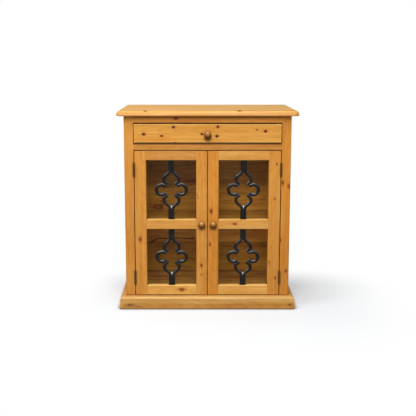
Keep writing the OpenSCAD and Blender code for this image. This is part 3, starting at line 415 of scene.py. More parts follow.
def back_crack(tree, board, axes):
    """A crack that wanders across the lower left of the back in bends of about 60 mm, wide at its left end
    and hair thin at its right."""
    crack = {key: size * MM for key, size in CRACK.items()}
    climb = add(tree, "ShaderNodeMapRange", {0: axes.outputs["X"], 1: crack["left"],
                                             2: crack["left"] + crack["climb"], 3: crack["low"],
                                             4: crack["high"]}, interpolation_type="SMOOTHSTEP")
    wander = add(tree, "ShaderNodeTexNoise", {"Vector": board, "Scale": 17.0, "Detail": 4.0})
    wave = add(tree, "ShaderNodeMath", {0: wander, 1: 0.5}, operation="SUBTRACT")
    strayed = add(tree, "ShaderNodeMath", {0: wave, 1: crack["stray"], 2: climb}, operation="MULTIPLY_ADD")
    above = add(tree, "ShaderNodeMath", {0: axes.outputs["Z"], 1: strayed}, operation="SUBTRACT")
    off_line = add(tree, "ShaderNodeMath", {0: above}, operation="ABSOLUTE")
    width = add(tree, "ShaderNodeMapRange", {0: axes.outputs["X"], 1: crack["left"],
                                             2: crack["left"] + crack["narrows"], 3: crack["wide"],
                                             4: crack["thin"]}, interpolation_type="SMOOTHSTEP")
    line = add(tree, "ShaderNodeMapRange", {0: off_line, 1: width, 2: crack["black"], 3: 0.0, 4: 1.0})
    starts = add(tree, "ShaderNodeMapRange", {0: axes.outputs["X"], 1: crack["left"] - crack["fade"],
                                              2: crack["left"]})
    ends = add(tree, "ShaderNodeMapRange", {0: axes.outputs["X"], 1: crack["right"],
                                            2: crack["right"] - crack["fade"]})
    span = add(tree, "ShaderNodeMath", {0: starts, 1: ends}, operation="MULTIPLY")
    return add(tree, "ShaderNodeMath", {0: line, 1: span}, operation="MULTIPLY")


# Where each back board starts, from the floor up, and how pale it is; the third board's paleness is painted
# light where the shelf's shadow falls
BACK_BOARD_W = 157.5 * MM
FIRST_SEAM = 66.5 * MM
BACK_SEAMS = (0, *[FIRST_SEAM + i * BACK_BOARD_W for i in range(6)])
PLANK_TONES_AND_LIGHT = (1.05, 1.0, 1.65, 1.1, 0.78, 0.98, 1.0)

# The crack across the back, in millimetres: its ends and how far it fades there, its height before and past
# its climb, how long the climb is and how far it strays, then half its width at the left and where it has
# narrowed, how long that takes, and half the width of its black middle
CRACK = {"left": -300, "right": -50, "fade": 20, "low": 227, "high": 249, "climb": 55, "stray": 30,
         "wide": 8, "thin": 5, "narrows": 70, "black": 1}

# Height at which the plinth's moulding starts, painted paler all over as a highlight
PLINTH_MOULDING_H = 14 * MM
PLINTH_BAND_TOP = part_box("plinth_front")[1].z - PLINTH_MOULDING_H

# Lines of painted highlight: height, half width and strength
PAINTED_HIGHLIGHT_LINES = {
    "drawer_front": [(height.z, 7 * MM, 1.0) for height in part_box("drawer_front")],
    "plinth_front": [(PLINTH_BAND_TOP - 8 * MM, 13 * MM, 0.9)],
}

# The painted shadow under a knob: its reach and its even core round a spot just over the knob's lowest edge,
# and its strength
KNOB_SHADOW_R = 25 * MM
KNOB_SHADOW_CORE_R = 13 * MM
KNOB_SHADOW_LIFT = 2 * MM
KNOB_SHADOW_STRENGTH = 0.62


def knob_shadow_spot(knob):
    """The middle of the painted shadow at a knob: how far across and how high."""
    low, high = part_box(knob)
    return (low.x + high.x) / 2, low.z + KNOB_SHADOW_LIFT


KNOB_SHADOWED = {
    "drawer_front": knob_shadow_spot("drawer_knob"),
    **{door + "_door_meeting_stile": knob_shadow_spot(door + "_door_knob") for door in DOORS},
}

# Lines of painted shade, in gaps, under overhangs, in the plinth's quirk and at its foot, and over the top's
# moulding: height, half width and strength
PAINTED_SHADE_LINES = {
    "top_board": [(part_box("top_board")[1].z - 8 * MM, 12 * MM, 0.08)],
    "frieze_rail": [(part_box("frieze_rail")[1].z, 14 * MM, 0.5), (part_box("frieze_rail")[0].z, 5 * MM, 1.0)],
    "drawer_rail": [(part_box("drawer_rail")[1].z, 9 * MM, 0.8)],
    **{"plinth_" + part: [(PLINTH_BAND_TOP, 1.6 * MM, 0.35), (0, 3 * MM, 0.7)]
       for part in ("front", "left", "right")},
    **{door + part: [(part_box(door + part)[1].z, 2.4 * MM, 0.82)] for door in DOORS
       for part in ("_door_top_rail", "_door_hinge_stile", "_door_meeting_stile")},
}

# Finishes of the hidden boards: the tone, its contrast, how much paler the faces are that look up, which is a
# painted highlight, and how pale the edges turn, partly real wear and partly a painted highlight
STAINED = (INSIDE, 2.2, 0, 0.3)
BARE = (DRAWER_INSIDE, 1.0, 0, 0.4)

# Each board: the axes along its grain, across it and into the board, then its finish
BOARDS = {
    "top_board": ("xyz", CREAM, 1.0, 0.5, 0.1),
    "left_side": ("zyx", HONEY, 1.0, 1, 0.6),
    "right_side": ("zyx", AMBER, 1.0, 1, 0.6),
    "left_frame_stile": ("zxy", HONEY, 1.0, 1, 0.6),
    "right_frame_stile": ("zxy", AMBER, 1.0, 1, 0.6),
    "frieze_rail": ("xzy", GINGER, 1.0, 1, 0.6),
    "drawer_rail": ("xzy", TAN, 1.0, 0, 0.6),
    "sill_rail": ("xzy", BISCUIT, 1.0, 1, 0.6),
    "plinth_front": ("xzy", OCHRE, 1.3, 1, 0.9),
    "plinth_left": ("yzx", OCHRE, 1.3, 0.1, 0.4),
    "plinth_right": ("yzx", OCHRE, 1.3, 0.1, 0.4),
    "drawer_front": ("xzy", BISCUIT, 1.0, 1, 1.0),
    "floor_board": ("xyz", DUSTY, 2.2, 0, 0.3),
    "floor_battens": ("yxz", *STAINED),
    "shelf": ("xyz", *STAINED),
    "shelf_battens": ("yxz", *STAINED),
    "back_boards": ("xzy", *STAINED),
    "dust_board": ("xyz", *STAINED),
    "left_drawer_runner": ("yxz", *STAINED),
    "right_drawer_runner": ("yxz", *STAINED),
    "drawer_kickers": ("yxz", *STAINED),
    "drawer_stops": ("xyz", *STAINED),
    "top_battens": ("xyz", *STAINED),
    "drawer_left_side": ("yzx", *BARE),
    "drawer_right_side": ("yzx", *BARE),
    "drawer_back": ("xzy", *BARE),
    "drawer_bottom": ("xyz", *BARE),
}
for door in DOORS:
    BOARDS.update({
        door + "_door_hinge_stile": ("zxy", HONEY, 1.0, 0, 0.6),
        door + "_door_meeting_stile": ("zxy", HONEY if door == "left" else AMBER, 1.0, 0, 0.6),
        door + "_door_top_rail": ("xzy", OCHRE if door == "left" else STRAW, 1.0, 0, 0.6),
        door + "_door_middle_rail": ("xzy", STRAW, 1.0, 1, 0.8),
        door + "_door_bottom_rail": ("xzy", CORN, 1.0, 1, 0.8),
        door + "_door_glazing_beads": ("zxy", HONEY, 1.0, 1, 0.6),
    })

# How long a knot is in its radii, and how dark its bark, where a knot doesn't say
USUAL_KNOT = (1.25, 0.45)

# Knots and stains, in millimetres: place along the board's face (x, or y on a side), height (y on the top or
# the floor), radius, how dark the heart is, and for an odd one its length in radii and how dark its bark is
KNOTS = {
    "drawer_front": [(-304, 861, 6, 1, 1.1, 1.0), (-219, 852, 4.5, 1, 1.3, 0.9),
                     (-162, 894.5, 6, 1, 1.0, 0.9), (-27, 861, 5, 1, 1.0, 1.0), (44.5, 852, 6, 1, 1.0, 1.0),
                     (48, 896, 5.5, 1, 1.0, 0.8), (274.5, 875, 6, 1, 1.0, 1.0), (234, 882, 3, 0.9, 1.2, 0.7),
                     (-154, 819, 4, 0.8)],
    "frieze_rail": [(-151, 935.5, 6, 1)],
    "top_board": [(-294, -188, 5, 0.7), (149, -186, 6, 0.9)],
    "left_side": [(30, 812, 6, 0.7), (-70, 548, 7, 0.8), (90, 296, 5, 0.6)],
    "right_side": [(-40, 731, 7, 0.7), (95, 472, 5, 0.8), (-10, 214, 6, 0.6)],
    "left_door_hinge_stile": [(-326.8, 344.2, 7, 0.7)],
    "left_door_bottom_rail": [(-126, 89.5, 8, 0.6)],
    "left_door_meeting_stile": [(-28.9, 212.7, 5, 0.8), (-29.4, 165.6, 2.5, 0.7), (-48.5, 564, 2, 0.7),
                                (-44, 551, 2.2, 0.7)],
    "right_door_meeting_stile": [(18.2, 485, 7, 0.7), (12.8, 319, 5, 0.4)],
    "right_door_middle_rail": [(133, 421.7, 6, 0.6)],
    "right_door_hinge_stile": [(331.8, 716, 3.5, 0.9), (324.9, 545.4, 3.5, 0.9), (301.4, 229, 3, 0.8),
                               (333.2, 149.4, 4, 0.7)],
    "right_frame_stile": [(362.2, 624.4, 6, 0.7), (391.6, 608, 6, 0.6), (356.3, 341.3, 4.5, 0.8),
                          (384.8, 184.2, 5, 0.6)],
    "plinth_front": [(-378, 20, 7, 0.35, 1.8, 0.15), (-340, 13, 3, 0.3, 4.0, 0.0),
                     (404, 22, 4.5, 0.4, 1.2, 0.2)],
    "back_boards": [(-262, 421, 11, 0.2, 2.1, 0.85), (-82, 563, 8, 0.1, 2.6, 0.3),
                    (245, 133, 2.5, 0.6, 4, 0.3)],
    "floor_board": [(-230, 110, 9, 0.4, 8, 0.3), (-300, 60, 8, 0.4, 7, 0.3), (292, 150, 7, 0.8, 2, 0.8),
                    (150, 90, 9, 0.5, 5, 0.5), (215, 108, 9, 0.4, 5, 0.4)],
}

for node, finish in BOARDS.items():
    dress(node, pine(node, *finish))


def turned_pine(name, level):
    """Turned pine knob, polished by hands: glossy, with a painted highlight where it faces up and forward, and
    painted shade round its flanks and underneath. level is how pale it is."""
    made, tree, result = new_material("polished_turned_pine_" + name)
    place = add(tree, "ShaderNodeTexCoord")

    # Grain 2 mm wide, drawn out along the knob
    drawn_out = add(tree, "ShaderNodeVectorMath", {0: place.outputs["Object"], 1: (500, 60, 140)},
                    operation="MULTIPLY")
    grain = add(tree, "ShaderNodeTexNoise", {"Vector": drawn_out, "Scale": 1.0, "Detail": 3.0})

    # Colour painted by how far each face turns up and forward: a painted highlight on the upper front, painted
    # shade on the flanks and underneath
    lit_from = (0, -0.88, 0.47)
    facing_light = add(tree, "ShaderNodeVectorMath", {0: place.outputs["Normal"], 1: lit_from},
                  operation="DOT_PRODUCT")
    light_and_shade = add(tree, "ShaderNodeValToRGB", {0: facing_light.outputs["Value"]}, stops=[
        (0.22, srgb("#301304")), (0.56, srgb("#743f14")), (0.84, srgb("#a5692d")), (0.97, srgb("#bd8a52")),
        (1.0, srgb("#d6b182"))])
    figured = add(tree, "ShaderNodeMapRange", {0: grain, 1: 0.3, 2: 0.7, 3: 0.88 * level, 4: 1.1 * level})
    colour = add(tree, "ShaderNodeVectorMath", {0: light_and_shade, "Scale": figured}, operation="SCALE")
    rough = add(tree, "ShaderNodeMapRange", {0: grain, 1: 0.3, 2: 0.7, 3: 0.15, 4: 0.22})
    surface = add(tree, "ShaderNodeBsdfPrincipled", {
        "Base Color": colour, "Roughness": rough, "Specular IOR Level": 0.08, "IOR": 1.5})
    tree.links.new(surface.outputs[0], result.inputs["Surface"])
    return made


# Other materials

def forged_iron():
    """Wrought iron, forge blackened and waxed: grey on its hammered faces, black on its sides, partly forge
    scale and partly painted shade, and a painted highlight along the bevels that look up."""
    made, tree, result = new_material("blackened_wrought_iron")
    place = add(tree, "ShaderNodeTexCoord")

    # Scale in patches of about 6 mm
    scale = add(tree, "ShaderNodeTexNoise", {"Vector": place.outputs["Object"], "Scale": 170.0,
                                             "Detail": 4.0})
    colour = add(tree, "ShaderNodeValToRGB", {0: scale}, stops=[
        (0.32, srgb("#0f1010")), (0.7, srgb("#2b2d2c"))])

    # Black on all that turns away from the front and the back, partly forge scale and partly painted shade,
    # and a painted highlight on the upward bevels between
    facing = add(tree, "ShaderNodeSeparateXYZ", {0: place.outputs["Normal"]})
    square = add(tree, "ShaderNodeMath", {0: facing.outputs["Y"]}, operation="ABSOLUTE")
    scale_and_shade = add(tree, "ShaderNodeMapRange", {0: square, 1: 0.85, 2: 0.5})
    blackened = add(tree, "ShaderNodeMix", {0: scale_and_shade, 6: colour, 7: srgb("#050505")}, data_type="RGBA")
    past_bevel = add(tree, "ShaderNodeMath", {0: square, 1: 0.7}, operation="SUBTRACT")
    off_bevel = add(tree, "ShaderNodeMath", {0: past_bevel}, operation="ABSOLUTE")
    bevel = add(tree, "ShaderNodeMapRange", {0: off_bevel, 1: 0.3, 2: 0.12})
    upward = add(tree, "ShaderNodeMapRange", {0: facing.outputs["Z"], 1: 0.2, 2: 0.62, 3: 0.0, 4: 0.8})
    painted_highlight = add(tree, "ShaderNodeMath", {0: bevel, 1: upward}, operation="MULTIPLY")
    bright = add(tree, "ShaderNodeMix", {0: painted_highlight, 6: blackened.outputs[2], 7: srgb("#7f8180")},
                 data_type="RGBA")

    rough = add(tree, "ShaderNodeMapRange", {0: scale, 1: 0.3, 2: 0.7, 3: 0.3, 4: 0.46})
    relief = add(tree, "ShaderNodeBump", {"Height": scale, "Strength": 0.4, "Distance": 0.4 * MM})
    surface = add(tree, "ShaderNodeBsdfPrincipled", {
        "Base Color": bright.outputs[2], "Roughness": rough, "Metallic": 0.6, "Specular IOR Level": 0.25,
        "Normal": relief.outputs[0]})
    tree.links.new(surface.outputs[0], result.inputs["Surface"])
    return made


def mottled(name, kind, pattern, colours, roughness, metallic=0.0, packing=(1, 1, 1)):
    """A finish mottled between two colours by a fine pattern; packing is how close that is on each axis."""
    made, tree, result = new_material(name)
    place = add(tree, "ShaderNodeTexCoord")
    packed = add(tree, "ShaderNodeVectorMath", {0: place.outputs["Object"], 1: packing},
                 operation="MULTIPLY")
    texture = add(tree, kind, {"Vector": packed, **pattern})
    colour = add(tree, "ShaderNodeValToRGB", {0: texture}, stops=[(at, srgb(code)) for at, code in colours])
    surface = add(tree, "ShaderNodeBsdfPrincipled", {"Base Color": colour, "Roughness": roughness,
                                                     "Metallic": metallic})
    tree.links.new(surface.outputs[0], result.inputs["Surface"])
    return made


def highlighted_weld():
    """Weld bead in a near-white grey that is a painted highlight where light catches its upward face, mottled
    in marks of 0.4 by 2 mm.
    """
    return mottled("weld_painted_highlight", "ShaderNodeTexNoise", {"Scale": 1.0, "Detail": 2.0},
                   ((0.3, "#cfccc0"), (0.7, "#f1eee4")), 0.45, 0.2, packing=(2600, 2600, 500))


def bronze_lacquer():
    """Steel hinges in an antique bronze lacquer: dark brown, with brighter metal where the lacquer has
    thinned, in patches of about 5 mm."""
    return mottled("antique_bronze_lacquer", "ShaderNodeTexNoise", {"Scale": 220.0, "Detail": 3.0},
                   ((0.35, "#3b2c1b"), (0.75, "#75592f")), 0.42, 0.8)


def zinced_steel():
    """Zinc-plated steel strike plate: a cool grey, slightly mottled by crystals of 2.5 mm."""
    return mottled("zinced_steel", "ShaderNodeTexVoronoi", {"Scale": 400.0},
                   ((0.0, "#a9abac"), (1.0, "#c4c6c6")), 0.35, 1.0)


def moulded_nylon():
    """Injection-moulded nylon of the door catches: brown, satin, very slightly uneven by the millimetre."""
    return mottled("moulded_nylon", "ShaderNodeTexNoise", {"Scale": 900.0, "Detail": 2.0},
                   ((0.3, "#4a3021"), (0.7, "#573a28")), 0.5)


def window_glass():
    """Clear drawn glass: colourless but for a trace of green. Its low index of refraction leaves the view
    through a thin pane straight, and the lamps shine through it without a shadow."""
    made, tree, result = new_material("clear_drawn_glass")
    rays = add(tree, "ShaderNodeLightPath")
    pane = add(tree, "ShaderNodeBsdfPrincipled", {
        "Base Color": srgb("#f6fbf8"), "Roughness": 0.0, "IOR": 1.06, "Transmission Weight": 1.0})
    clear = add(tree, "ShaderNodeBsdfTransparent", {"Color": srgb("#f6fbf8")})
    mixed = add(tree, "ShaderNodeMixShader", {0: rays.outputs["Is Shadow Ray"], 1: pane, 2: clear})
    tree.links.new(mixed.outputs[0], result.inputs["Surface"])
    return made


IRON = forged_iron()
BRONZE = bronze_lacquer()
WELD_HIGHLIGHT = highlighted_weld()
STEEL = zinced_steel()
NYLON = moulded_nylon()
GLASS = window_glass()

for node in ("frame_hinge_leaves", "hinge_pins", "frame_hinge_screws"):
    dress(node, BRONZE)
dress("door_catches", NYLON)
dress("drawer_knob", turned_pine("drawer", 0.76))
DOOR_KNOB_WOOD = turned_pine("doors", 1.0)
for door in DOORS:
    for part in ("hinge_leaves", "hinge_screws"):
        dress(door + "_door_" + part, BRONZE)
    dress(door + "_door_strike_plate", STEEL)
    dress(door + "_door_knob", DOOR_KNOB_WOOD)
    for level in LEVELS:
        dress(door + "_door_" + level + "_glass", GLASS)


# Pieces that the scene adds

def new_piece(name, mesh):
    """An object at the origin, with its place in its mesh."""
    made = bpy.data.objects.new(name, mesh)
    bpy.context.scene.collection.objects.link(made)
    return made


def bake(piece):
    """Turns a piece's modifiers into a plain mesh."""
    bpy.context.view_layer.update()
    whole = piece.evaluated_get(bpy.context.evaluated_depsgraph_get())
    mesh = bpy.data.meshes.new_from_object(whole)
    piece.modifiers.clear()
    piece.data = mesh


def run(piece, tree, inputs):
    """Runs a geometry node tree on a piece, with its inputs by name, and keeps the plain mesh."""
    modifier = piece.modifiers.new(tree.name, "NODES")
    modifier.node_group = tree
    for socket in tree.interface.items_tree:
        if socket.in_out == "INPUT" and socket.name in inputs:
            modifier[socket.identifier] = inputs[socket.name]
    bake(piece)


def hammered_skin():
    """Forging marks: the skin swells and dips under the hammer, with smaller dents over that."""
    tree, given, result = new_group(
        "hammered skin", "GeometryNodeTree",
        [("Bars", "Geometry", None), ("Forge Scale", "Float", None), ("Swell Length", "Float", None),
         ("Swell Depth", "Float", None), ("Dent Length", "Float", None), ("Dent Depth", "Float", None),
         ("Iron", "Material", None)],
        [("Bars", "Geometry")],
    )
    place = add(tree, "GeometryNodeInputPosition")
    moved = given.outputs["Forge Scale"]
    for mark in ("Swell", "Dent"):
        scale = add(tree, "ShaderNodeMath", {0: 1.0, 1: given.outputs[mark + " Length"]}, operation="DIVIDE")
        noise = add(tree, "ShaderNodeTexNoise", {"Vector": place, "Scale": scale, "Detail": 1.0})
        middle = add(tree, "ShaderNodeMath", {0: noise, 1: 0.5}, operation="SUBTRACT")
        moved = add(tree, "ShaderNodeMath", {0: middle, 1: given.outputs[mark + " Depth"], 2: moved},
                    operation="MULTIPLY_ADD")
    outwards = add(tree, "ShaderNodeVectorMath", {0: add(tree, "GeometryNodeInputNormal"), "Scale": moved},
                   operation="SCALE")
    beaten = add(tree, "GeometryNodeSetPosition", {"Geometry": given.outputs["Bars"], "Offset": outwards})
    whole = add(tree, "GeometryNodeRealizeInstances", {"Geometry": beaten})
    finished = add(tree, "GeometryNodeSetMaterial", {"Geometry": whole, "Material": given.outputs["Iron"]})
    tree.links.new(finished.outputs[0], result.inputs["Bars"])
    return tree


def nail_rows():
    """Two upright rows of nail heads, one mirrored from the other, each nail a little different."""
    tree, given, result = new_group(
        "nail rows", "GeometryNodeTree",
        [("Wood", "Geometry", None), ("First", "Vector", None), ("Step", "Vector", None),
         ("Count", "Int", None), ("Stray", "Vector", None), ("Head Radius", "Float", None),
         ("Head Height", "Float", None), ("Seed", "Int", None), ("Steel", "Material", None)],
        [("Nails", "Geometry")],
    )
    row = add(tree, "GeometryNodeMeshLine", {"Count": given.outputs["Count"],
                                             "Start Location": given.outputs["First"],
                                             "Offset": given.outputs["Step"]})
    mirrored = add(tree, "GeometryNodeTransform", {"Geometry": row, "Scale": (-1, 1, 1)})
    rows = add(tree, "GeometryNodeJoinGeometry", {"Geometry": row})
    tree.links.new(mirrored.outputs[0], rows.inputs["Geometry"])
    head = add(tree, "GeometryNodeMeshCylinder", {"Vertices": 14, "Radius": given.outputs["Head Radius"],
                                                  "Depth": given.outputs["Head Height"]})
    other_way = add(tree, "ShaderNodeVectorMath", {0: given.outputs["Stray"], "Scale": -1.0},
                    operation="SCALE")
    scatter = add(tree, "FunctionNodeRandomValue", {"Min": other_way, "Max": given.outputs["Stray"],
                                                    "Seed": given.outputs["Seed"]}, data_type="FLOAT_VECTOR")
    strayed = add(tree, "GeometryNodeSetPosition", {"Geometry": rows, "Offset": scatter})
    nails = add(tree, "GeometryNodeInstanceOnPoints", {"Points": strayed, "Instance": head,
                                                       "Rotation": (math.pi / 2, 0, 0)})
    whole = add(tree, "GeometryNodeRealizeInstances", {"Geometry": nails})
    finished = add(tree, "GeometryNodeSetMaterial", {"Geometry": whole,
                                                     "Material": given.outputs["Steel"]})
    tree.links.new(finished.outputs[0], result.inputs["Nails"])
    return tree


# The top board's edge, a little fuller than the solid's: the radius of its front corners, the height of its
# lower band, the quirks at the foot and the head of its ovolo, the ovolo's width, and the lower arris
CORNER_R = 24 * MM
TOP_BAND_H = 7 * MM
TOP_QUIRK = 1.2 * MM
TOP_OVOLO_W = 19 * MM
TOP_ARRIS_R = 5 * MM
ARC_STEPS = 8


def quarter(centre, radii, start):
    """Points on a quarter of an ellipse, from a start angle in degrees."""
    turns = [math.radians(start + 90 * i / ARC_STEPS) for i in range(ARC_STEPS + 1)]
    return [(centre[0] + radii[0] * math.cos(t), centre[1] + radii[1] * math.sin(t)) for t in turns]


def rounded_top():
    """The top board with its front corners rounded, so that the moulding runs round them."""
    low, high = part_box("top_board")
    ovolo_foot = low.z + TOP_BAND_H + TOP_QUIRK
    ovolo_h = high.z - TOP_QUIRK - ovolo_foot
    ovolo = quarter((TOP_QUIRK + TOP_OVOLO_W, ovolo_foot), (-TOP_OVOLO_W, ovolo_h), 0)
    arris = quarter((TOP_ARRIS_R, low.z + TOP_ARRIS_R), (-TOP_ARRIS_R, TOP_ARRIS_R), 270)
    section = [*arris, (0, low.z + TOP_BAND_H), *ovolo, (TOP_QUIRK + TOP_OVOLO_W, high.z)]
    shape = bmesh.new()
    rings = []
    for inset, height in section:
        turn_r = (CORNER_R - inset, CORNER_R - inset)
        outline = [
            (low.x + inset, high.y),
            *quarter((low.x + CORNER_R, low.y + CORNER_R), turn_r, 180),
            *quarter((high.x - CORNER_R, low.y + CORNER_R), turn_r, 270),
            (high.x - inset, high.y),
        ]
        rings.append([shape.verts.new((x, y, height)) for x, y in outline])
    for lower, upper in zip(rings, rings[1:]):
        for k in range(len(lower) - 1):
            shape.faces.new((lower[k], lower[k + 1], upper[k + 1], upper[k]))
    shape.faces.new(rings[0][::-1])
    shape.faces.new(rings[-1])
    shape.faces.new([ring[0] for ring in rings] + [ring[-1] for ring in rings[::-1]])
    bmesh.ops.recalc_face_normals(shape, faces=shape.faces)
    mesh = bpy.data.meshes.new("rounded_top_board")
    shape.to_mesh(mesh)
    shape.free()
    mesh.shade_smooth()
    mesh.set_sharp_from_angle(angle=math.radians(40))
    mesh.materials.append(nodes["top_board"].data.materials[0])
    piece = new_piece("rounded_top_board", mesh)
    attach(piece, "carcass")
    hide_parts("top_board")


rounded_top()

# How a tracery is forged: the mesh of its skin, the scale on it, and how long and deep its hammer marks are
HAMMERED = hammered_skin()
VOXEL = 1.15 * MM
FORGING = {"Forge Scale": 0.6 * MM, "Swell Length": 26 * MM, "Swell Depth": 2.0 * MM,
           "Dent Length": 7 * MM, "Dent Depth": 0.9 * MM, "Iron": IRON}


def forge(door, level):
    """A tracery with the hammer's marks on it, made from the CAD bars."""
    node = door + "_door_" + level + "_ironwork"
    skin = bmesh.new()
    skin.from_mesh(nodes[node].data)
    bmesh.ops.remove_doubles(skin, verts=skin.verts, dist=0.005 * MM)
    mesh = bpy.data.meshes.new(node + "_forged")
    skin.to_mesh(mesh)
    skin.free()
    piece = new_piece(node + "_forged", mesh)
    remesh = piece.modifiers.new("even skin", "REMESH")
    remesh.mode = "VOXEL"
    remesh.voxel_size = VOXEL
    remesh.use_smooth_shade = True
    soften = piece.modifiers.new("softened arrises", "SMOOTH")
    soften.factor = 0.4
    soften.iterations = 1
    run(piece, HAMMERED, FORGING)
    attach(piece, door + "_door")
    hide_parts(node)


# Weld in the lower crotch of a tracery: its apex under the tracery's middle, and the bars' inner bend
APEX_DROP = 92.9 * MM
CROTCH_R = 20 * MM

# A bead: its height, its root in the seam below, half its thickness, how far it sinks into the bars, how far
# its faces are dished as a share of its width, and how blunt its ends are
BEAD_H = 14 * MM
BEAD_ROOT = 3 * MM
BEAD_HALF_T = 6.8 * MM
BEAD_SINK = 1.4 * MM
BEAD_DISH = 0.25
BEAD_END = 0.12
BEAD_RINGS = 8
BEAD_SIDES = 20


def add_bead(shape, middle):
    """One bead in the lower crotch of the tracery round this middle, drawn into the seam below."""
    turns = [2 * math.pi * k / BEAD_SIDES for k in range(BEAD_SIDES)]
    apex = middle.z - APEX_DROP
    rings = []
    for i in range(BEAD_RINGS + 1):
        rise = (BEAD_H + BEAD_ROOT) * i / BEAD_RINGS - BEAD_ROOT
        gap = CROTCH_R - math.sqrt(CROTCH_R ** 2 - max(rise, 0) ** 2)
        swell = math.sin(math.pi * (BEAD_END + (1 - 2 * BEAD_END) * i / BEAD_RINGS)) ** 0.5
        rings.append([shape.verts.new((
            middle.x + (gap + BEAD_SINK) * math.cos(turn),
            middle.y + BEAD_HALF_T * swell * math.sin(turn),
            apex + rise - BEAD_DISH * gap * math.sin(turn) ** 2,
        )) for turn in turns])
    for lower, upper in zip(rings, rings[1:]):
        for k in range(BEAD_SIDES):
            shape.faces.new((lower[k - 1], lower[k], upper[k], upper[k - 1]))
    shape.faces.new(rings[0][::-1])
    shape.faces.new(rings[-1])


def weld_beads(door):
    """The beads in a door's two traceries, as one piece."""
    shape = bmesh.new()
    for level in LEVELS:
        low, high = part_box(door + "_door_" + level + "_ironwork")
        add_bead(shape, (low + high) / 2)
    bmesh.ops.recalc_face_normals(shape, faces=shape.faces)
    mesh = bpy.data.meshes.new(door + "_door_weld_beads")
    shape.to_mesh(mesh)
    shape.free()
    mesh.shade_smooth()
    mesh.materials.append(WELD_HIGHLIGHT)
    piece = new_piece(door + "_door_weld_beads", mesh)
    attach(piece, door + "_door")


for door in DOORS:
    for level in LEVELS:
        forge(door, level)
    weld_beads(door)

# Nails in the back, two to a board: how far a row lies from the middle, and the height of its lowest nail
NAIL_ROW_X = 385 * MM
LOWEST_NAIL = 106 * MM
nails = new_piece("back_board_nails", bpy.data.meshes.new("back_board_nails"))
run(nails, nail_rows(), {
    "First": (NAIL_ROW_X, BACK_Y, LOWEST_NAIL), "Step": (0, 0, BACK_BOARD_W / 2), "Count": 11,
    "Stray": (1.5 * MM, 0, 3 * MM), "Head Radius": 3.2 * MM, "Head Height": 1.2 * MM, "Seed": 7,
    "Steel": IRON})
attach(nails, "carcass")


# Floor, backdrop, lamps and camera

# The paper turns white between two distances from the outline of the cabinet's top, this much sooner to the
# left and behind, where the outline is drawn in
FADE_NEAR = 30 * MM
FADE_FAR = 600 * MM
SOONER_LEFT = 2.5
SOONER_BEHIND = 1.7
DRAWN_IN = 120 * MM

# How near the cabinet's foot the paper is darkened, a painted contact shadow, and how much it glows to the
# camera
CONTACT_R = 24 * MM
PAPER_GLOW = 0.3


def studio_paper():
    """Pale seamless paper: it holds the cabinet's soft shadow, with a painted contact shadow at its foot, and
    runs out into plain white.
    """
    made, tree, result = new_material("pale_studio_paper")
    place = add(tree, "ShaderNodeTexCoord")
    nearest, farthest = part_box("top_board")
    farthest = farthest - Vector((0, DRAWN_IN, 0))
    past = add(tree, "ShaderNodeVectorMath", {0: place.outputs["Object"], 1: farthest}, operation="SUBTRACT")
    behind = add(tree, "ShaderNodeVectorMath", {0: past, 1: (0, 0, 0)}, operation="MAXIMUM")
    short = add(tree, "ShaderNodeVectorMath", {0: nearest, 1: place.outputs["Object"]}, operation="SUBTRACT")
    before = add(tree, "ShaderNodeVectorMath", {0: short, 1: (0, 0, 0)}, operation="MAXIMUM")
    scaled_before = add(tree, "ShaderNodeVectorMath", {0: before, 1: (SOONER_LEFT, 1, 0)},
                        operation="MULTIPLY")
    outside = add(tree, "ShaderNodeVectorMath", {0: behind, 1: (1, SOONER_BEHIND, 0), 2: scaled_before},
                  operation="MULTIPLY_ADD")
    reach = add(tree, "ShaderNodeVectorMath", {0: outside}, operation="LENGTH")
    fade = add(tree, "ShaderNodeMapRange", {0: reach.outputs["Value"], 1: FADE_NEAR, 2: FADE_FAR},
               interpolation_type="SMOOTHSTEP")
    rays = add(tree, "ShaderNodeLightPath")
    seen = add(tree, "ShaderNodeMath", {0: rays.outputs["Is Camera Ray"], 1: rays.outputs["Is Glossy Ray"]},
               operation="MAXIMUM")
    seen_through = add(tree, "ShaderNodeMath", {0: seen, 1: rays.outputs["Is Transmission Ray"]},
                       operation="MAXIMUM")
    white = add(tree, "ShaderNodeMath", {0: fade, 1: seen_through}, operation="MULTIPLY")
    # A painted contact shadow: the paper darkens where the cabinet is within reach
    closeness = add(tree, "ShaderNodeAmbientOcclusion", {"Distance": CONTACT_R}, samples=8)
    painted_contact_shade = add(tree, "ShaderNodeMapRange", {0: closeness.outputs["AO"], 1: 0.55, 2: 0.95, 3: 0.3, 4: 1.0})
    lit = add(tree, "ShaderNodeMath", {0: seen_through, 1: painted_contact_shade}, operation="MULTIPLY")
    lift = add(tree, "ShaderNodeMath", {0: lit, 1: PAPER_GLOW}, operation="MULTIPLY")
    tone = add(tree, "ShaderNodeMix", {0: seen_through, 6: srgb("#989898"), 7: srgb("#c7cbce")},
               data_type="RGBA")
    dimmed = add(tree, "ShaderNodeVectorMath", {0: tone.outputs[2], "Scale": painted_contact_shade}, operation="SCALE")
    paper = add(tree, "ShaderNodeBsdfDiffuse", {"Color": dimmed})
    glow = add(tree, "ShaderNodeEmission", {"Color": (1, 1, 1, 1), "Strength": lift})
    lifted = add(tree, "ShaderNodeAddShader", {0: paper, 1: glow})
    backdrop = add(tree, "ShaderNodeEmission", {"Color": (1, 1, 1, 1), "Strength": 1.0})
    mixed = add(tree, "ShaderNodeMixShader", {0: white, 1: lifted, 2: backdrop})
    tree.links.new(mixed.outputs[0], result.inputs["Surface"])
    return made


FLOOR_REACH = 30.0
CORNERS = ((-1, -1), (1, -1), (1, 1), (-1, 1))
floor_mesh = bpy.data.meshes.new("studio_floor")
floor_mesh.from_pydata([(x * FLOOR_REACH, y * FLOOR_REACH, 0) for x, y in CORNERS], [], [(0, 1, 2, 3)])
floor_mesh.materials.append(studio_paper())
floor = new_piece("studio_floor", floor_mesh)

WORLD_LIGHT = 0.32


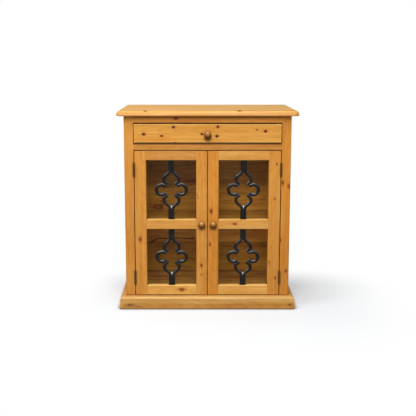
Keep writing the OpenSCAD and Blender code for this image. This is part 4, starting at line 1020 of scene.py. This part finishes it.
def studio_world():
    """Even light from all round, which the camera and the glass see as plain white."""
    made = bpy.data.worlds.new("studio_world")
    made.use_nodes = True
    tree = made.node_tree
    tree.nodes.clear()
    rays = add(tree, "ShaderNodeLightPath")
    seen = add(tree, "ShaderNodeMath", {0: rays.outputs["Is Camera Ray"],
                                        1: rays.outputs["Is Transmission Ray"]}, operation="MAXIMUM")
    level = add(tree, "ShaderNodeMix", {0: seen, 2: WORLD_LIGHT, 3: 1.0})
    light = add(tree, "ShaderNodeBackground", {"Color": (1, 1, 1, 1), "Strength": level})
    add(tree, "ShaderNodeOutputWorld", {"Surface": light})
    return made


bpy.context.scene.world = studio_world()


def lamp(name, target, azimuth, elevation, distance, size, level):
    """A square soft box round a target, its azimuth counted from the front to the right; level is the light
    that it gives a surface which faces it at the target."""
    flat = math.cos(math.radians(elevation))
    way = Vector((flat * math.sin(math.radians(azimuth)), -flat * math.cos(math.radians(azimuth)),
                  math.sin(math.radians(elevation))))
    made = bpy.data.lights.new(name, "AREA")
    made.size = size
    made.energy = level * (math.pi * distance) ** 2
    holder = bpy.data.objects.new(name, made)
    holder.location = Vector(target) + way * distance
    holder.rotation_euler = way.to_track_quat("Z", "Y").to_euler()
    bpy.context.scene.collection.objects.link(holder)


MIDDLE = (0, FACE_Y, 0.5)
lamp("front_soft_box", MIDDLE, azimuth=-4, elevation=41, distance=3.5, size=1.9, level=0.68)
lamp("top_soft_box", MIDDLE, azimuth=-12, elevation=74, distance=3.0, size=1.5, level=0.32)
lamp("left_soft_box", MIDDLE, azimuth=-68, elevation=46, distance=3.2, size=1.3, level=0.36)

# The photograph's view: the frame's width, the lens and the place of its axis in that frame, all in pixels,
# then how far the camera looks down and where it stands
FRAME_PX = 416
LENS_PX = 628.4
AXIS_X_PX = 197.5
AXIS_Y_PX = 150.0
TILT = math.radians(8.08)
CAMERA_PLACE = (-48.2 * MM, FACE_Y - 2971 * MM, 1205.9 * MM)
camera_data = bpy.data.cameras.new("photo_camera")
camera_data.sensor_width = 36.0
camera_data.lens = LENS_PX / FRAME_PX * camera_data.sensor_width
camera_data.shift_x = (FRAME_PX / 2 - AXIS_X_PX) / FRAME_PX
camera_data.shift_y = (AXIS_Y_PX - FRAME_PX / 2) / FRAME_PX
camera = bpy.data.objects.new("photo_camera", camera_data)
camera.location = CAMERA_PLACE
camera.rotation_euler = (math.pi / 2 - TILT, 0, 0)
bpy.context.scene.collection.objects.link(camera)
bpy.context.scene.camera = camera
bpy.context.scene.view_settings.view_transform = "Standard"
